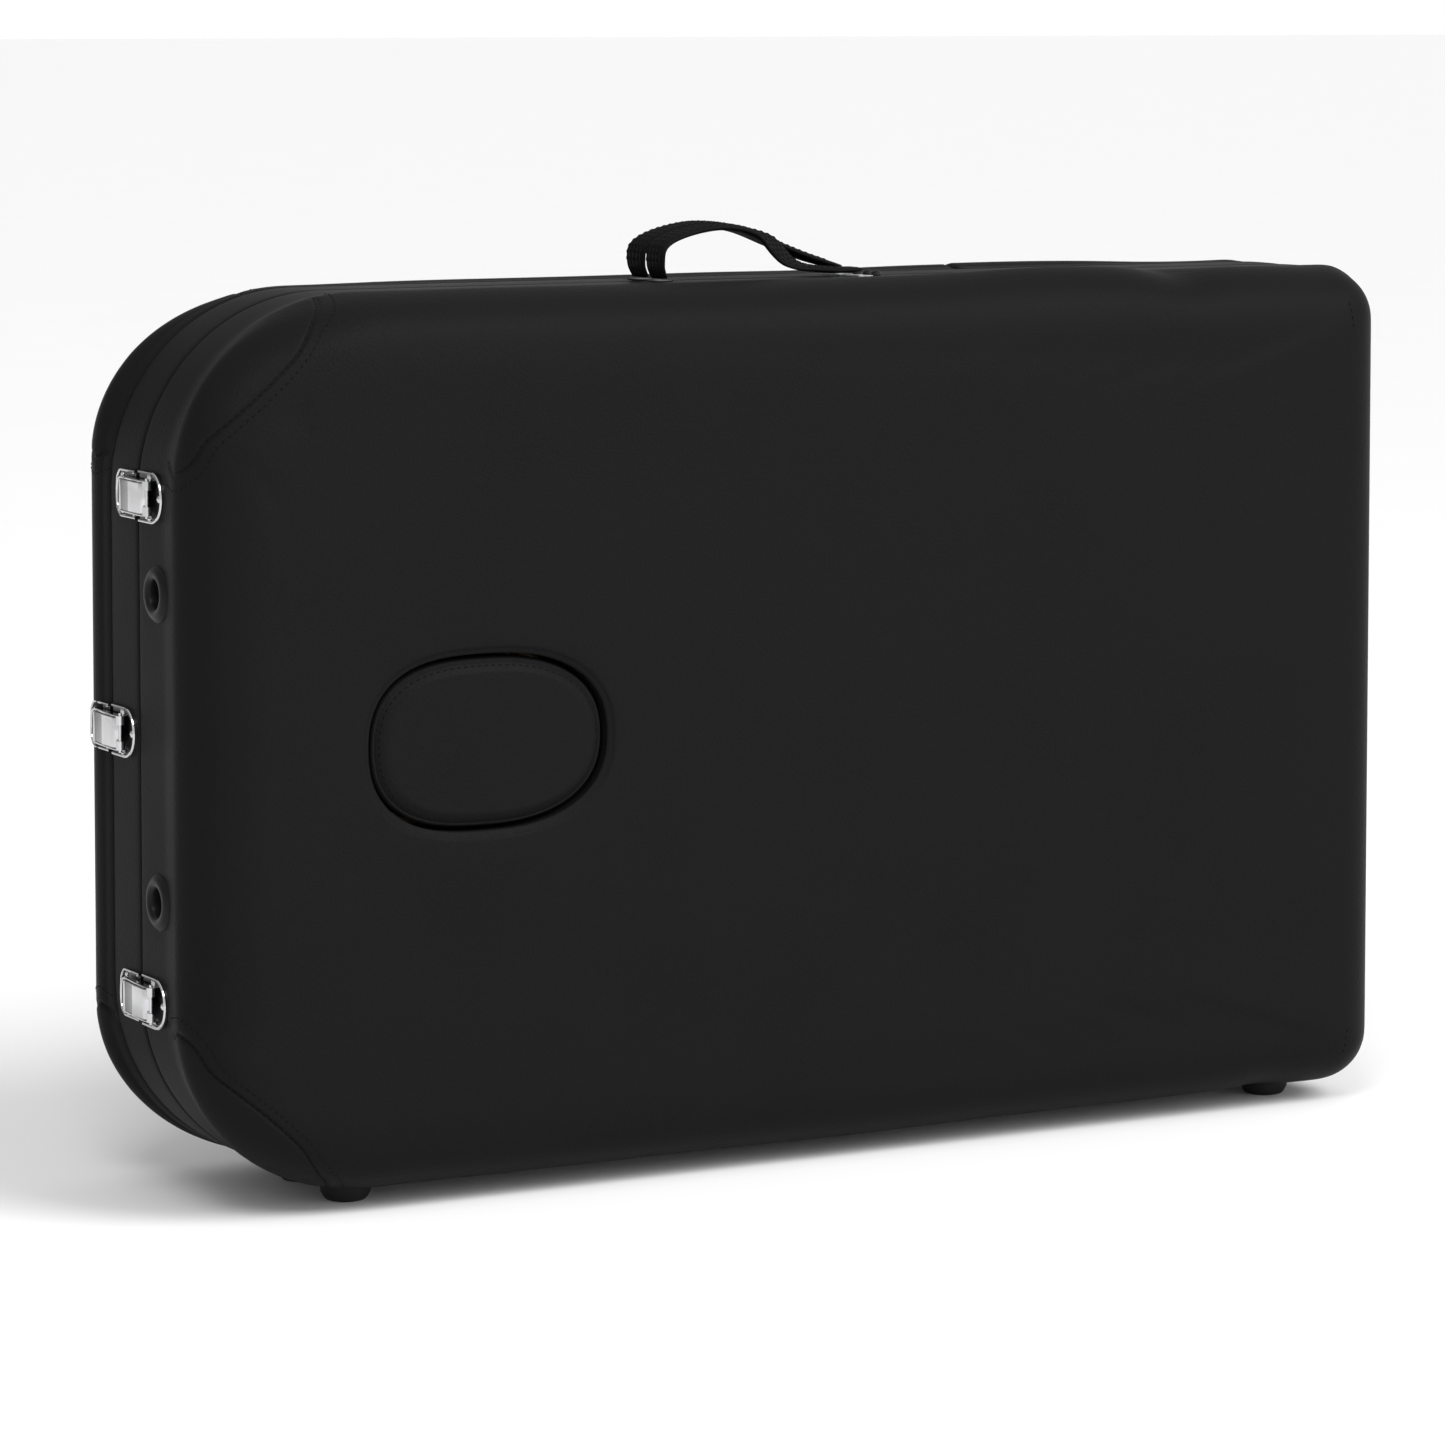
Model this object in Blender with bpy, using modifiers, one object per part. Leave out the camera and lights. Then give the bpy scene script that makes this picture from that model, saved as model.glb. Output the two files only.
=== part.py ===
"""Portable massage table with a lift-back, folded up to a case that stands on its long side.

Metres, +Z up. The fold hinge is at the +X end, the draw latches are at the -X end, and the
two halves meet at the plane y = 0: the front half with the face hole lies at -Y, the back
half with the tilting backrest at +Y. The origin is on the floor under the middle of the case.
"""

from math import cos, pi, radians, sin

import bmesh
import bpy
from mathutils import Matrix, Vector

# Driving dimensions
LENGTH = 0.930  # one half, end to end
WIDTH = 0.592  # of the upholstered top
HALF_DEPTH = 0.108  # inner plane of the frame to the face of the cushion
FOOT_HEIGHT = 0.015
CORNER_RADIUS = 0.130  # at the latch end
HINGE_CORNER_RADIUS = 0.025
CASE_SHIFT = 0.0029  # centres the case with its latches and hinge barrel on the origin
GAP = 0.0003  # between touching pieces

# Frame of each half
SKIRT_THICKNESS = 0.0015
SKIRT_EDGE = 0.0008  # to the joint plane
HINGE_SLOT = (0.006, 0.0048, 0.262)  # half sizes of the skirt's opening for the fold hinge
RAIL_INSET = 0.0018
RAIL_THICKNESS = 0.018
RAIL_FACE = 0.0028  # inner edge of the rails to the joint plane
RAIL_EDGE = 0.0462  # deck side of the front rails
BACK_RAIL_EDGE = 0.0485
DECK_THICKNESS = 0.005
FRONT_CUSHION_START = 0.0516
BACK_CUSHION_START = 0.0558
CUSHION_ROUND = 0.034
BACKREST_SPLIT_X = 0.200
BACKREST_GAP = 0.003  # between the backrest and the fixed seat

# Legs, measured along the leg from its pivot
PIVOT_FROM_END = 0.135
PIVOT_Y = 0.0245
LEG_RADIUS = 0.0125
LEG_WALL = 0.0017
LEG_START = -0.014
LEG_END = 0.440
EXTENSION_START = 0.150
EXTENSION_END = 0.4865
EXTENSION_RADIUS = 0.0104
LEG_TIP = 0.510
LEG_FOOT_RADIUS = 0.016
CROSSBAR_AT = 0.300
CROSSBAR_RADIUS = 0.009
ROD_RADIUS = 0.006
FRONT_LEG_OFFSET = 0.185  # from the middle of the table's width
BACK_LEG_OFFSET = 0.235

# Feet of the case
FOOT_RADIUS = 0.0175
FRONT_FOOT_Y = -0.040
BACK_FOOT_Y = 0.030
LATCH_FOOT_X = -0.333
HINGE_FOOT_X = 0.408

# Headrest ports
PORT_SPACING = 0.2036
PORT_Y = -0.0325
PORT_FLANGE_RADIUS = 0.019
PORT_HOLE_RADIUS = 0.0122
PORT_TUBE_RADIUS = 0.0115
PORT_BORE_RADIUS = 0.0092
PORT_LENGTH = 0.030

# Face hole and its plug
FACE_HOLE_X = -0.257
FACE_HOLE_LENGTH = 0.177
FACE_HOLE_WIDTH = 0.119
PLUG_CLEARANCE = 0.0055
PLUG_SUNK = 0.0015  # below the face of the cushion
PLUG_BOARD_THICKNESS = 0.006
PLUG_ROUND = 0.012
DECK_LIP = 0.012  # ledge of the deck that the plug rests on

# Latches, measured from the latch's middle on the end face
LATCH_OFFSET = 0.168  # of the upper and the lower one from the middle of the case
LATCH_JOINT_Y = -0.005  # of the two that join the halves
LATCH_BACKREST_Y = 0.044  # of the one that joins the backrest to its frame
LATCH_PIN = (-0.0055, -0.024)  # x, y
LATCH_PIN_RADIUS = 0.0012
LATCH_PLATE = (-GAP, -0.0017)  # from and to, in x
LATCH_BASE_HALF_WIDTH = 0.019
LATCH_BASE_Y = (-0.021, -0.002)  # middle of the round side, straight side
LATCH_EAR_Z = 0.0145
LATCH_LEVER_X = (-0.0095, -0.0038)
LATCH_LEVER_TIP = 0.026
LATCH_LEVER_HALF_WIDTH = 0.012
LATCH_CATCH_Y = (0.004, 0.036)
LATCH_CATCH_HALF_WIDTH = 0.016
LATCH_CATCH_CORNER = 0.009

# Backrest prop
PROP_FROM_AXIS = 0.300
PROP_LENGTH = 0.340
PROP_Y = 0.0425
PROP_HALF_WIDTH = 0.120
PROP_RADIUS = 0.004
PROP_EAR = 0.022  # length of the ends that turn in the brackets
PROP_BEND = 0.014
BRACKET_HALF_LENGTH = 0.009
CROSSBOARD_X = (0.188, 0.236)  # past the tips of the folded legs
CROSSBOARD_Y = (0.0032, 0.0080)
TONGUE_X = 0.134  # of the crossboard, between the legs
TONGUE_HALF_WIDTH = 0.150
RACK_X = (0.136, 0.234)
RACK_Y = (0.0083, 0.0112, 0.0152)  # foot of the board, notches, teeth
RACK_HALF_WIDTH = 0.135
RACK_TEETH = 6
RACK_PITCH = 0.016

# Handles
HANDLE_WIDTH = 0.026
HANDLE_THICKNESS = 0.005
HANDLE_OUTER_Y = 0.0310
HANDLE_ROUTE = (  # x, height above the top of the case
    (-0.080, 0.0075),
    (-0.082, 0.0260),
    (-0.036, 0.0375),
    (0.022, 0.0235),
    (0.074, 0.0075),
)

# Fold hinge
BARREL_RADIUS = 0.0032
BARREL_HALF_LENGTH = 0.250
KNUCKLES = 5
KNUCKLE_GAP = 0.0004  # at each end
LEAF_Y = (0.0010, 0.0023)
LEAF_REACH = (0.034, 0.0042)  # from the axis to the leaf's far and near edge
HINGE_PIN_RADIUS = 0.0013
HINGE_BORE_RADIUS = 0.0017

# Derived places
LATCH_END = CASE_SHIFT - LENGTH / 2
HINGE_END = CASE_SHIFT + LENGTH / 2
BOTTOM = FOOT_HEIGHT
TOP = FOOT_HEIGHT + WIDTH
MIDDLE = (BOTTOM + TOP) / 2
FOLD_X = HINGE_END + 0.0005
PIVOT_X = LATCH_END + PIVOT_FROM_END
RAIL_DEPTH_IN = RAIL_INSET + RAIL_THICKNESS
REACH = WIDTH / 2 - RAIL_DEPTH_IN - GAP  # from the middle to the inside of a long rail
ROUND_STEPS = 24
EDGE_ROUND = 0.0015  # on the wooden rails


def clear_scene():
    for obj in list(bpy.data.objects):
        bpy.data.objects.remove(obj, do_unlink=True)


def collection(name):
    made = bpy.data.collections.new(name)
    bpy.context.scene.collection.children.link(made)
    return made


def material(name, colour, roughness, metallic=0.0):
    made = bpy.data.materials.new(name)
    made.use_nodes = True
    shader = made.node_tree.nodes["Principled BSDF"]
    shader.inputs["Base Color"].default_value = (*colour, 1.0)
    shader.inputs["Roughness"].default_value = roughness
    shader.inputs["Metallic"].default_value = metallic
    made.diffuse_color = (*colour, 1.0)
    return made


# ---------------------------------------------------------------- meshes


def finish_mesh(name, bm):
    bmesh.ops.remove_doubles(bm, verts=bm.verts, dist=0.00001)
    bmesh.ops.recalc_face_normals(bm, faces=bm.faces)
    mesh = bpy.data.meshes.new(name)
    bm.to_mesh(mesh)
    bm.free()
    mesh.shade_smooth()
    mesh.set_sharp_from_angle(angle=radians(35))
    return mesh


def along(axis):
    """The turn that takes +Z to the axis."""
    return Vector((0, 0, 1)).rotation_difference(Vector(axis)).to_matrix().to_4x4()


def box_mesh(name, low, high):
    bm = bmesh.new()
    size = [b - a for a, b in zip(low, high)]
    middle = [(a + b) / 2 for a, b in zip(low, high)]
    place = Matrix.Translation(middle) @ Matrix.Diagonal((*size, 1))
    bmesh.ops.create_cube(bm, size=1, matrix=place)
    return finish_mesh(name, bm)


def cylinder_mesh(name, start, end, radius, end_radius=None, steps=ROUND_STEPS):
    bm = bmesh.new()
    way = Vector(end) - Vector(start)
    place = Matrix.Translation((Vector(start) + Vector(end)) / 2) @ along(way)
    bmesh.ops.create_cone(
        bm,
        cap_ends=True,
        segments=steps,
        radius1=radius,
        radius2=radius if end_radius is None else end_radius,
        depth=way.length,
        matrix=place,
    )
    return finish_mesh(name, bm)


def extrude(bm, points, way):
    """A flat outline of points in space, extruded along a vector. Returns the far end's points."""
    flat = bm.faces.new([bm.verts.new(point) for point in points])
    grown = bmesh.ops.extrude_face_region(bm, geom=[flat])["geom"]
    far = [item for item in grown if isinstance(item, bmesh.types.BMVert)]
    bmesh.ops.translate(bm, verts=far, vec=way)
    return far


def slab_mesh(name, outline, y_from, y_to, rim=0.0, rim_steps=4):
    """An outline in X and Z, extruded along Y, with the rim at y_to rounded."""
    bm = bmesh.new()
    far = set(extrude(bm, [(x, y_from, z) for x, z in outline], (0, y_to - y_from, 0)))
    if rim:
        edges = [edge for edge in bm.edges if far.issuperset(edge.verts)]
        bmesh.ops.bevel(
            bm, geom=edges, offset=rim, segments=rim_steps, profile=0.5, affect="EDGES"
        )
    return finish_mesh(name, bm)


def plate_mesh(name, outline, x_from, x_to):
    """An outline in Y and Z, extruded along X."""
    bm = bmesh.new()
    extrude(bm, [(x_from, y, z) for y, z in outline], (x_to - x_from, 0, 0))
    return finish_mesh(name, bm)


# -------------------------------------------------------------- outlines


def arc(centre, radius, start, stop, steps):
    cx, cz = centre
    angles = [start + (stop - start) * i / steps for i in range(steps + 1)]
    return [(cx + radius * cos(a), cz + radius * sin(a)) for a in angles]


def case_outline(inset=0.0):
    """The rounded outline of a half in X and Z, counter-clockwise, moved in by the inset."""
    x0, x1 = LATCH_END + inset, HINGE_END - inset
    z0, z1 = BOTTOM + inset, TOP - inset
    big = CORNER_RADIUS - inset
    small = HINGE_CORNER_RADIUS - inset
    corners = (
        ((x1 - small, z0 + small), small, -pi / 2, 4),
        ((x1 - small, z1 - small), small, 0, 4),
        ((x0 + big, z1 - big), big, pi / 2, 12),
        ((x0 + big, z0 + big), big, pi, 12),
    )
    points = []
    for centre, radius, start, steps in corners:
        points += arc(centre, radius, start, start + pi / 2, steps)
    return points


def bow_outline():
    """The bent rail of the latch end: a C from long rail to long rail."""
    points = []
    for inset, turn in ((RAIL_INSET, 1), (RAIL_DEPTH_IN, -1)):
        x0 = LATCH_END + inset
        radius = CORNER_RADIUS - inset
        side = arc((x0 + radius, TOP - inset - radius), radius, pi / 2, pi, 12)
        side += arc((x0 + radius, BOTTOM + inset + radius), radius, pi, 3 * pi / 2, 12)
        points += side[::turn]
    return points


def egg_outline(inset=0.0, steps=40):
    """The face hole: an oval that is blunter at the latch end."""
    half_length = FACE_HOLE_LENGTH / 2 - inset
    half_width = FACE_HOLE_WIDTH / 2 - inset
    points = []
    for i in range(steps):
        angle = 2 * pi * i / steps
        power = 2.35 if cos(angle) > 0 else 2.9
        x = abs(cos(angle)) ** (2 / power) * (1 if cos(angle) > 0 else -1)
        z = abs(sin(angle)) ** (2 / 2.35) * (1 if sin(angle) > 0 else -1)
        points.append((FACE_HOLE_X + half_length * x, MIDDLE + half_width * z))
    return points


# --------------------------------------------------------------- objects


class Builder:
    """Makes the objects, keeps their materials and hangs them on their pivots."""

    def __init__(self):
        self.part = collection("portable_massage_table")
        self.helpers = collection("cutters")
        self.helpers.hide_render = True
        self.pivots = {}
        self.finishes = {
            "leather": material("black_leather", (0.012, 0.012, 0.013), 0.45),
            "wood": material("beech_ply", (0.46, 0.29, 0.15), 0.5),
            "chrome": material("chrome", (0.62, 0.62, 0.63), 0.12, 1.0),
            "steel": material("zinc_steel", (0.45, 0.46, 0.47), 0.35, 1.0),
            "aluminium": material("anodised_aluminium", (0.66, 0.67, 0.69), 0.3, 1.0),
            "plastic": material("black_plastic", (0.014, 0.014, 0.015), 0.3),
            "rubber": material("black_rubber", (0.018, 0.018, 0.018), 0.7),
        }

    def pivot(self, name, at, parent=None):
        empty = bpy.data.objects.new(name, None)
        empty.empty_display_size = 0.03
        self.part.objects.link(empty)
        self.hang(empty, parent)
        empty.location = at
        self.pivots[name] = (empty, Vector(at))

    def hang(self, obj, pivot):
        """Parents an object that is placed in world coordinates."""
        if pivot:
            obj.parent, at = self.pivots[pivot]
            obj.matrix_parent_inverse = Matrix.Translation(-at)

    def add(self, name, mesh, finish, pivot=None, location=(0, 0, 0)):
        obj = bpy.data.objects.new(name, mesh)
        self.part.objects.link(obj)
        if not mesh.materials:
            mesh.materials.append(self.finishes[finish])
        obj.location = location
        self.hang(obj, pivot)
        if pivot and not any(location):
            at = self.pivots[pivot][1]
            mesh.transform(Matrix.Translation(-at))
            obj.location = at
        return obj

    def cutter(self, name, mesh):
        obj = bpy.data.objects.new(name, mesh)
        self.helpers.objects.link(obj)
        obj.hide_render = True
        obj.display_type = "WIRE"
        return obj

    def combine(self, obj, name, mesh, operation="DIFFERENCE"):
        modifier = obj.modifiers.new(name, "BOOLEAN")
        modifier.operation = operation
        modifier.solver = "EXACT"
        modifier.object = self.cutter(f"{obj.name}_{name}", mesh)

    def bake(self, name, mesh, steps):
        """One mesh from a body and the shapes joined to it or cut from it in order."""
        obj = self.cutter(name, mesh)
        for i, (operation, other) in enumerate(steps):
            self.combine(obj, f"step{i}", other, operation)
        bpy.context.view_layer.update()
        graph = bpy.context.evaluated_depsgraph_get()
        made = bpy.data.meshes.new_from_object(obj.evaluated_get(graph))
        for modifier in list(obj.modifiers):
            bpy.data.objects.remove(modifier.object, do_unlink=True)
        bpy.data.objects.remove(obj, do_unlink=True)
        made.shade_smooth()
        made.set_sharp_from_angle(angle=radians(35))
        return made

    def bevel(self, obj, width, segments=2):
        modifier = obj.modifiers.new("edges", "BEVEL")
        modifier.width = width
        modifier.segments = segments
        modifier.limit_method = "ANGLE"
        modifier.angle_limit = radians(40)


# ------------------------------------------------------- frames and tops


def build_frame(b, half, side, edge, pivot):
    """The four-sided frame under a half, with its leather skirt. side is -1 or +1 in Y."""
    y_in, y_out = side * RAIL_FACE, side * edge
    low_y, high_y = min(y_in, y_out), max(y_in, y_out)
    x0 = LATCH_END + CORNER_RADIUS + GAP
    x1 = HINGE_END - HINGE_CORNER_RADIUS
    for name, z0, z1 in (
        ("lower", BOTTOM + RAIL_INSET, BOTTOM + RAIL_DEPTH_IN),
        ("upper", TOP - RAIL_DEPTH_IN, TOP - RAIL_INSET),
    ):
        mesh = box_mesh(f"{half}_rail_{name}", (x0, low_y, z0), (x1, high_y, z1))
        rail = b.add(f"{half}_rail_{name}", mesh, "wood", pivot)
        b.bevel(rail, EDGE_ROUND)
    trim = HINGE_CORNER_RADIUS - 0.002
    mesh = box_mesh(
        f"{half}_hinge_end_rail",
        (HINGE_END - RAIL_DEPTH_IN, low_y, BOTTOM + trim),
        (HINGE_END - RAIL_INSET, high_y, TOP - trim),
    )
    end = b.add(f"{half}_hinge_end_rail", mesh, "wood", pivot)
    b.bevel(end, EDGE_ROUND)
    mesh = slab_mesh(f"{half}_latch_end_bow", bow_outline(), y_in, y_out)
    bow = b.add(f"{half}_latch_end_bow", mesh, "wood", pivot)
    skirt_out = -(FRONT_CUSHION_START - GAP) if side < 0 else edge
    mesh = slab_mesh(f"{half}_skirt", case_outline(), side * SKIRT_EDGE, skirt_out)
    skirt = b.add(f"{half}_skirt", mesh, "leather", pivot)
    inner = slab_mesh("inner", case_outline(SKIRT_THICKNESS), -HALF_DEPTH, HALF_DEPTH)
    slot = box_mesh(
        "slot",
        (HINGE_END - HINGE_SLOT[0], -HINGE_SLOT[1], MIDDLE - HINGE_SLOT[2]),
        (HINGE_END + HINGE_SLOT[0], HINGE_SLOT[1], MIDDLE + HINGE_SLOT[2]),
    )
    b.combine(skirt, "inner", inner)
    b.combine(skirt, "hinge_slot", slot)
    return bow, skirt


def build_front_half(b):
    bow, skirt = build_frame(b, "front", -1, RAIL_EDGE, None)
    deck = b.add(
        "front_deck",
        slab_mesh(
            "front_deck",
            case_outline(RAIL_INSET),
            -(RAIL_EDGE + GAP),
            -(RAIL_EDGE + DECK_THICKNESS),
        ),
        "wood",
    )
    b.combine(deck, "face_hole", slab_mesh("hole", egg_outline(DECK_LIP), -0.2, 0.01))
    cushion = b.add(
        "front_cushion",
        slab_mesh(
            "front_cushion", case_outline(), -FRONT_CUSHION_START, -HALF_DEPTH, CUSHION_ROUND
        ),
        "leather",
    )
    b.combine(cushion, "face_hole", slab_mesh("hole", egg_outline(), -0.2, 0.01))
    for name, side in (("lower", -1), ("upper", 1)):
        centre = (PORT_Y, MIDDLE + side * PORT_SPACING / 2)
        start = (LATCH_END - PORT_LENGTH, *centre)
        stop = (LATCH_END + 2 * PORT_LENGTH, *centre)
        for obj in (bow, skirt):
            b.combine(obj, f"port_{name}", cylinder_mesh("bore", start, stop, PORT_HOLE_RADIUS))
        b.add(f"port_socket_{name}", port_mesh(centre), "plastic")


def port_mesh(centre):
    """A turned socket: a domed flange on the end face and a tube through the bent rail."""
    profile = [
        (PORT_BORE_RADIUS, 0.0030),
        (PORT_BORE_RADIUS + 0.003, 0.0036),
        (PORT_FLANGE_RADIUS - 0.004, 0.0028),
        (PORT_FLANGE_RADIUS, GAP),
        (PORT_TUBE_RADIUS, GAP),
        (PORT_TUBE_RADIUS, -PORT_LENGTH),
        (PORT_BORE_RADIUS, -PORT_LENGTH),
    ]
    bm = bmesh.new()
    ring = [bm.verts.new((r, 0, h)) for r, h in profile]
    edges = [bm.edges.new((ring[i], ring[(i + 1) % len(ring)])) for i in range(len(ring))]
    bmesh.ops.spin(
        bm, geom=ring + edges, cent=(0, 0, 0), axis=(0, 0, 1), angle=2 * pi,
        steps=32, use_merge=True,
    )
    place = Matrix.Translation((LATCH_END, *centre)) @ along((-1, 0, 0))
    bmesh.ops.transform(bm, matrix=place, verts=bm.verts)
    return finish_mesh("port_socket", bm)


def build_plug(b):
    inset = PLUG_CLEARANCE
    face = -(HALF_DEPTH - PLUG_SUNK)
    board_top = -(FRONT_CUSHION_START + PLUG_BOARD_THICKNESS)
    b.pivot("plug_lift", (FACE_HOLE_X, face, MIDDLE))
    outline = egg_outline(inset)
    board = slab_mesh("face_plug_board", outline, -FRONT_CUSHION_START, board_top)
    b.add("face_plug_board", board, "wood", "plug_lift")
    pad = slab_mesh("face_plug_cushion", outline, board_top - GAP, face, PLUG_ROUND, 3)
    b.add("face_plug_cushion", pad, "leather", "plug_lift")


def build_back_half(b):
    b.pivot("main_fold", (FOLD_X, 0, MIDDLE))
    build_frame(b, "back", 1, BACK_RAIL_EDGE, "main_fold")
    b.pivot("backrest_tilt", (BACKREST_SPLIT_X, HALF_DEPTH, MIDDLE), "main_fold")
    deck_top = BACK_CUSHION_START - GAP
    for name, side, deck_bottom, pivot in (
        ("seat", 1, BACK_RAIL_EDGE + GAP, "main_fold"),
        ("backrest", -1, deck_top - DECK_THICKNESS, "backrest_tilt"),
    ):
        edge = BACKREST_SPLIT_X + side * BACKREST_GAP / 2
        xs = sorted((edge, edge - side * LENGTH))
        away = box_mesh("other_part", (xs[0], 0, 0), (xs[1], 2 * HALF_DEPTH, LENGTH))
        deck = slab_mesh("deck", case_outline(RAIL_INSET), deck_bottom, deck_top)
        deck = b.bake("deck", deck, [("DIFFERENCE", away)])
        b.add(f"{name}_deck", deck, "wood", pivot)
        pad = slab_mesh(
            "pad", case_outline(), BACK_CUSHION_START, HALF_DEPTH, CUSHION_ROUND
        )
        pad = b.bake("pad", pad, [("DIFFERENCE", away.copy())])
        b.add(f"{name}_cushion", pad, "leather", pivot)


# ----------------------------------------------------------- fold hinge


def build_fold_hinge(b):
    """A long hinge in the corner between the halves: three front knuckles, two back ones."""
    pitch = 2 * BARREL_HALF_LENGTH / KNUCKLES
    low = MIDDLE - BARREL_HALF_LENGTH
    high = MIDDLE + BARREL_HALF_LENGTH
    ends = (FOLD_X, 0, low + KNUCKLE_GAP), (FOLD_X, 0, high - KNUCKLE_GAP)
    for half, side, pivot in (("front", -1, None), ("back", 1, "main_fold")):
        y0, y1 = sorted((side * LEAF_Y[0], side * LEAF_Y[1]))
        leaf = box_mesh(
            "leaf", (FOLD_X - LEAF_REACH[0], y0, low), (FOLD_X - LEAF_REACH[1], y1, high)
        )
        steps = []
        for i in range(0 if side < 0 else 1, KNUCKLES, 2):
            z0 = low + i * pitch + KNUCKLE_GAP
            z1 = low + (i + 1) * pitch - KNUCKLE_GAP
            web = box_mesh("web", (FOLD_X - 0.006, y0, z0), (FOLD_X - 0.0012, y1, z1))
            steps.append(("UNION", web))
            barrel = cylinder_mesh(
                "barrel", (FOLD_X, 0, z0), (FOLD_X, 0, z1), BARREL_RADIUS, steps=16
            )
            steps.append(("UNION", barrel))
        if side < 0:
            pin = cylinder_mesh("pin", *ends, HINGE_PIN_RADIUS, steps=12)
            steps.append(("UNION", pin))
        else:
            bore = cylinder_mesh("bore", *ends, HINGE_BORE_RADIUS, steps=12)
            steps.append(("DIFFERENCE", bore))
        mesh = b.bake("leaf", leaf, steps)
        b.add(f"fold_hinge_{half}_leaf", mesh, "steel", pivot)


# ----------------------------------------------------------------- legs


def build_legs(b, half, side, offset, parent):
    """A folding leg frame with two telescopic legs. side is -1 or +1 in Y."""
    y = side * PIVOT_Y
    rod = cylinder_mesh(
        "rod", (PIVOT_X, y, MIDDLE - REACH), (PIVOT_X, y, MIDDLE + REACH), ROD_RADIUS
    )
    b.add(f"{half}_leg_rod", rod, "steel", parent)
    fold = f"{half}_leg_fold"
    b.pivot(fold, (PIVOT_X, y, MIDDLE), parent)
    span = offset - LEG_RADIUS - GAP
    bar_x = PIVOT_X + CROSSBAR_AT
    bar = cylinder_mesh(
        "bar", (bar_x, y, MIDDLE - span), (bar_x, y, MIDDLE + span), CROSSBAR_RADIUS
    )
    b.add(f"{half}_leg_crossbar", bar, "aluminium", fold)
    for name, way in (("lower", -1), ("upper", 1)):
        build_leg(b, half, name, (PIVOT_X, y, MIDDLE + way * offset), fold)


def build_leg(b, half, name, at, fold):
    """A tube on the rod, with a smaller tube that slides in it and carries the foot."""

    def place(reach, aside=0.0):
        return (at[0] + reach, at[1], at[2] + aside)

    outer = cylinder_mesh("leg", place(LEG_START), place(LEG_END), LEG_RADIUS)
    inside = cylinder_mesh(
        "inside", place(-LEG_START), place(LEG_END - LEG_START), LEG_RADIUS - LEG_WALL
    )
    bore = cylinder_mesh(
        "bore", place(0, -2 * LEG_RADIUS), place(0, 2 * LEG_RADIUS), ROD_RADIUS + 0.0005
    )
    mesh = b.bake("leg", outer, [("DIFFERENCE", inside), ("DIFFERENCE", bore)])
    b.add(f"{half}_leg_{name}", mesh, "aluminium", fold)
    slide = f"{half}_leg_extension_{name}"
    b.pivot(f"{slide}_slide", place(LEG_END), fold)
    tube = cylinder_mesh("tube", place(EXTENSION_START), place(EXTENSION_END), EXTENSION_RADIUS)
    b.add(slide, tube, "aluminium", f"{slide}_slide")
    foot = cylinder_mesh(
        "foot",
        place(EXTENSION_END + GAP),
        place(LEG_TIP),
        EXTENSION_RADIUS + 0.002,
        LEG_FOOT_RADIUS,
    )
    b.add(f"{half}_leg_foot_{name}", foot, "rubber", f"{slide}_slide")


# -------------------------------------------------------------- latches


def latch_base_mesh(b):
    """A D-shaped plate with two ears and the pin between them."""
    pin_x, pin_y = LATCH_PIN
    half = LATCH_BASE_HALF_WIDTH
    round_y, straight_y = LATCH_BASE_Y
    round_side = arc((round_y, 0), half, pi / 2, 3 * pi / 2, 12)
    outline = [(straight_y, half)] + round_side + [(straight_y, -half)]
    steps = []
    for z in (-LATCH_EAR_Z, LATCH_EAR_Z):
        ear = box_mesh(
            "ear", (-0.0080, pin_y - 0.0035, z - 0.0012), (-0.0010, pin_y + 0.0035, z + 0.0012)
        )
        steps.append(("UNION", ear))
    ends = (pin_x, pin_y, -LATCH_EAR_Z), (pin_x, pin_y, LATCH_EAR_Z)
    steps.append(("UNION", cylinder_mesh("pin", *ends, LATCH_PIN_RADIUS, steps=12)))
    return b.bake("latch_base", plate_mesh("plate", outline, *LATCH_PLATE), steps)


def latch_lever_mesh(b):
    """A boxy cover with a barrel on the pin."""
    pin_x, pin_y = LATCH_PIN
    half = LATCH_LEVER_HALF_WIDTH
    outer_x, inner_x = LATCH_LEVER_X
    cover = box_mesh("cover", (outer_x, pin_y, -half), (inner_x, LATCH_LEVER_TIP, half))
    barrel = cylinder_mesh("barrel", (pin_x, pin_y, -half), (pin_x, pin_y, half), 0.0030, steps=16)
    ends = (pin_x, pin_y, -LATCH_EAR_Z), (pin_x, pin_y, LATCH_EAR_Z)
    bore = cylinder_mesh("bore", *ends, LATCH_PIN_RADIUS + GAP, steps=12)
    return b.bake("latch_lever", cover, [("UNION", barrel), ("DIFFERENCE", bore)])


def latch_catch_mesh():
    """A plate with its two far corners rounded."""
    near, tip = LATCH_CATCH_Y
    half = LATCH_CATCH_HALF_WIDTH
    corner = LATCH_CATCH_CORNER
    rounded = arc((tip - corner, corner - half), corner, -pi / 2, 0, 4)
    rounded += arc((tip - corner, half - corner), corner, 0, pi / 2, 4)
    return plate_mesh("latch_catch", rounded + [(near, half), (near, -half)], *LATCH_PLATE)


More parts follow.
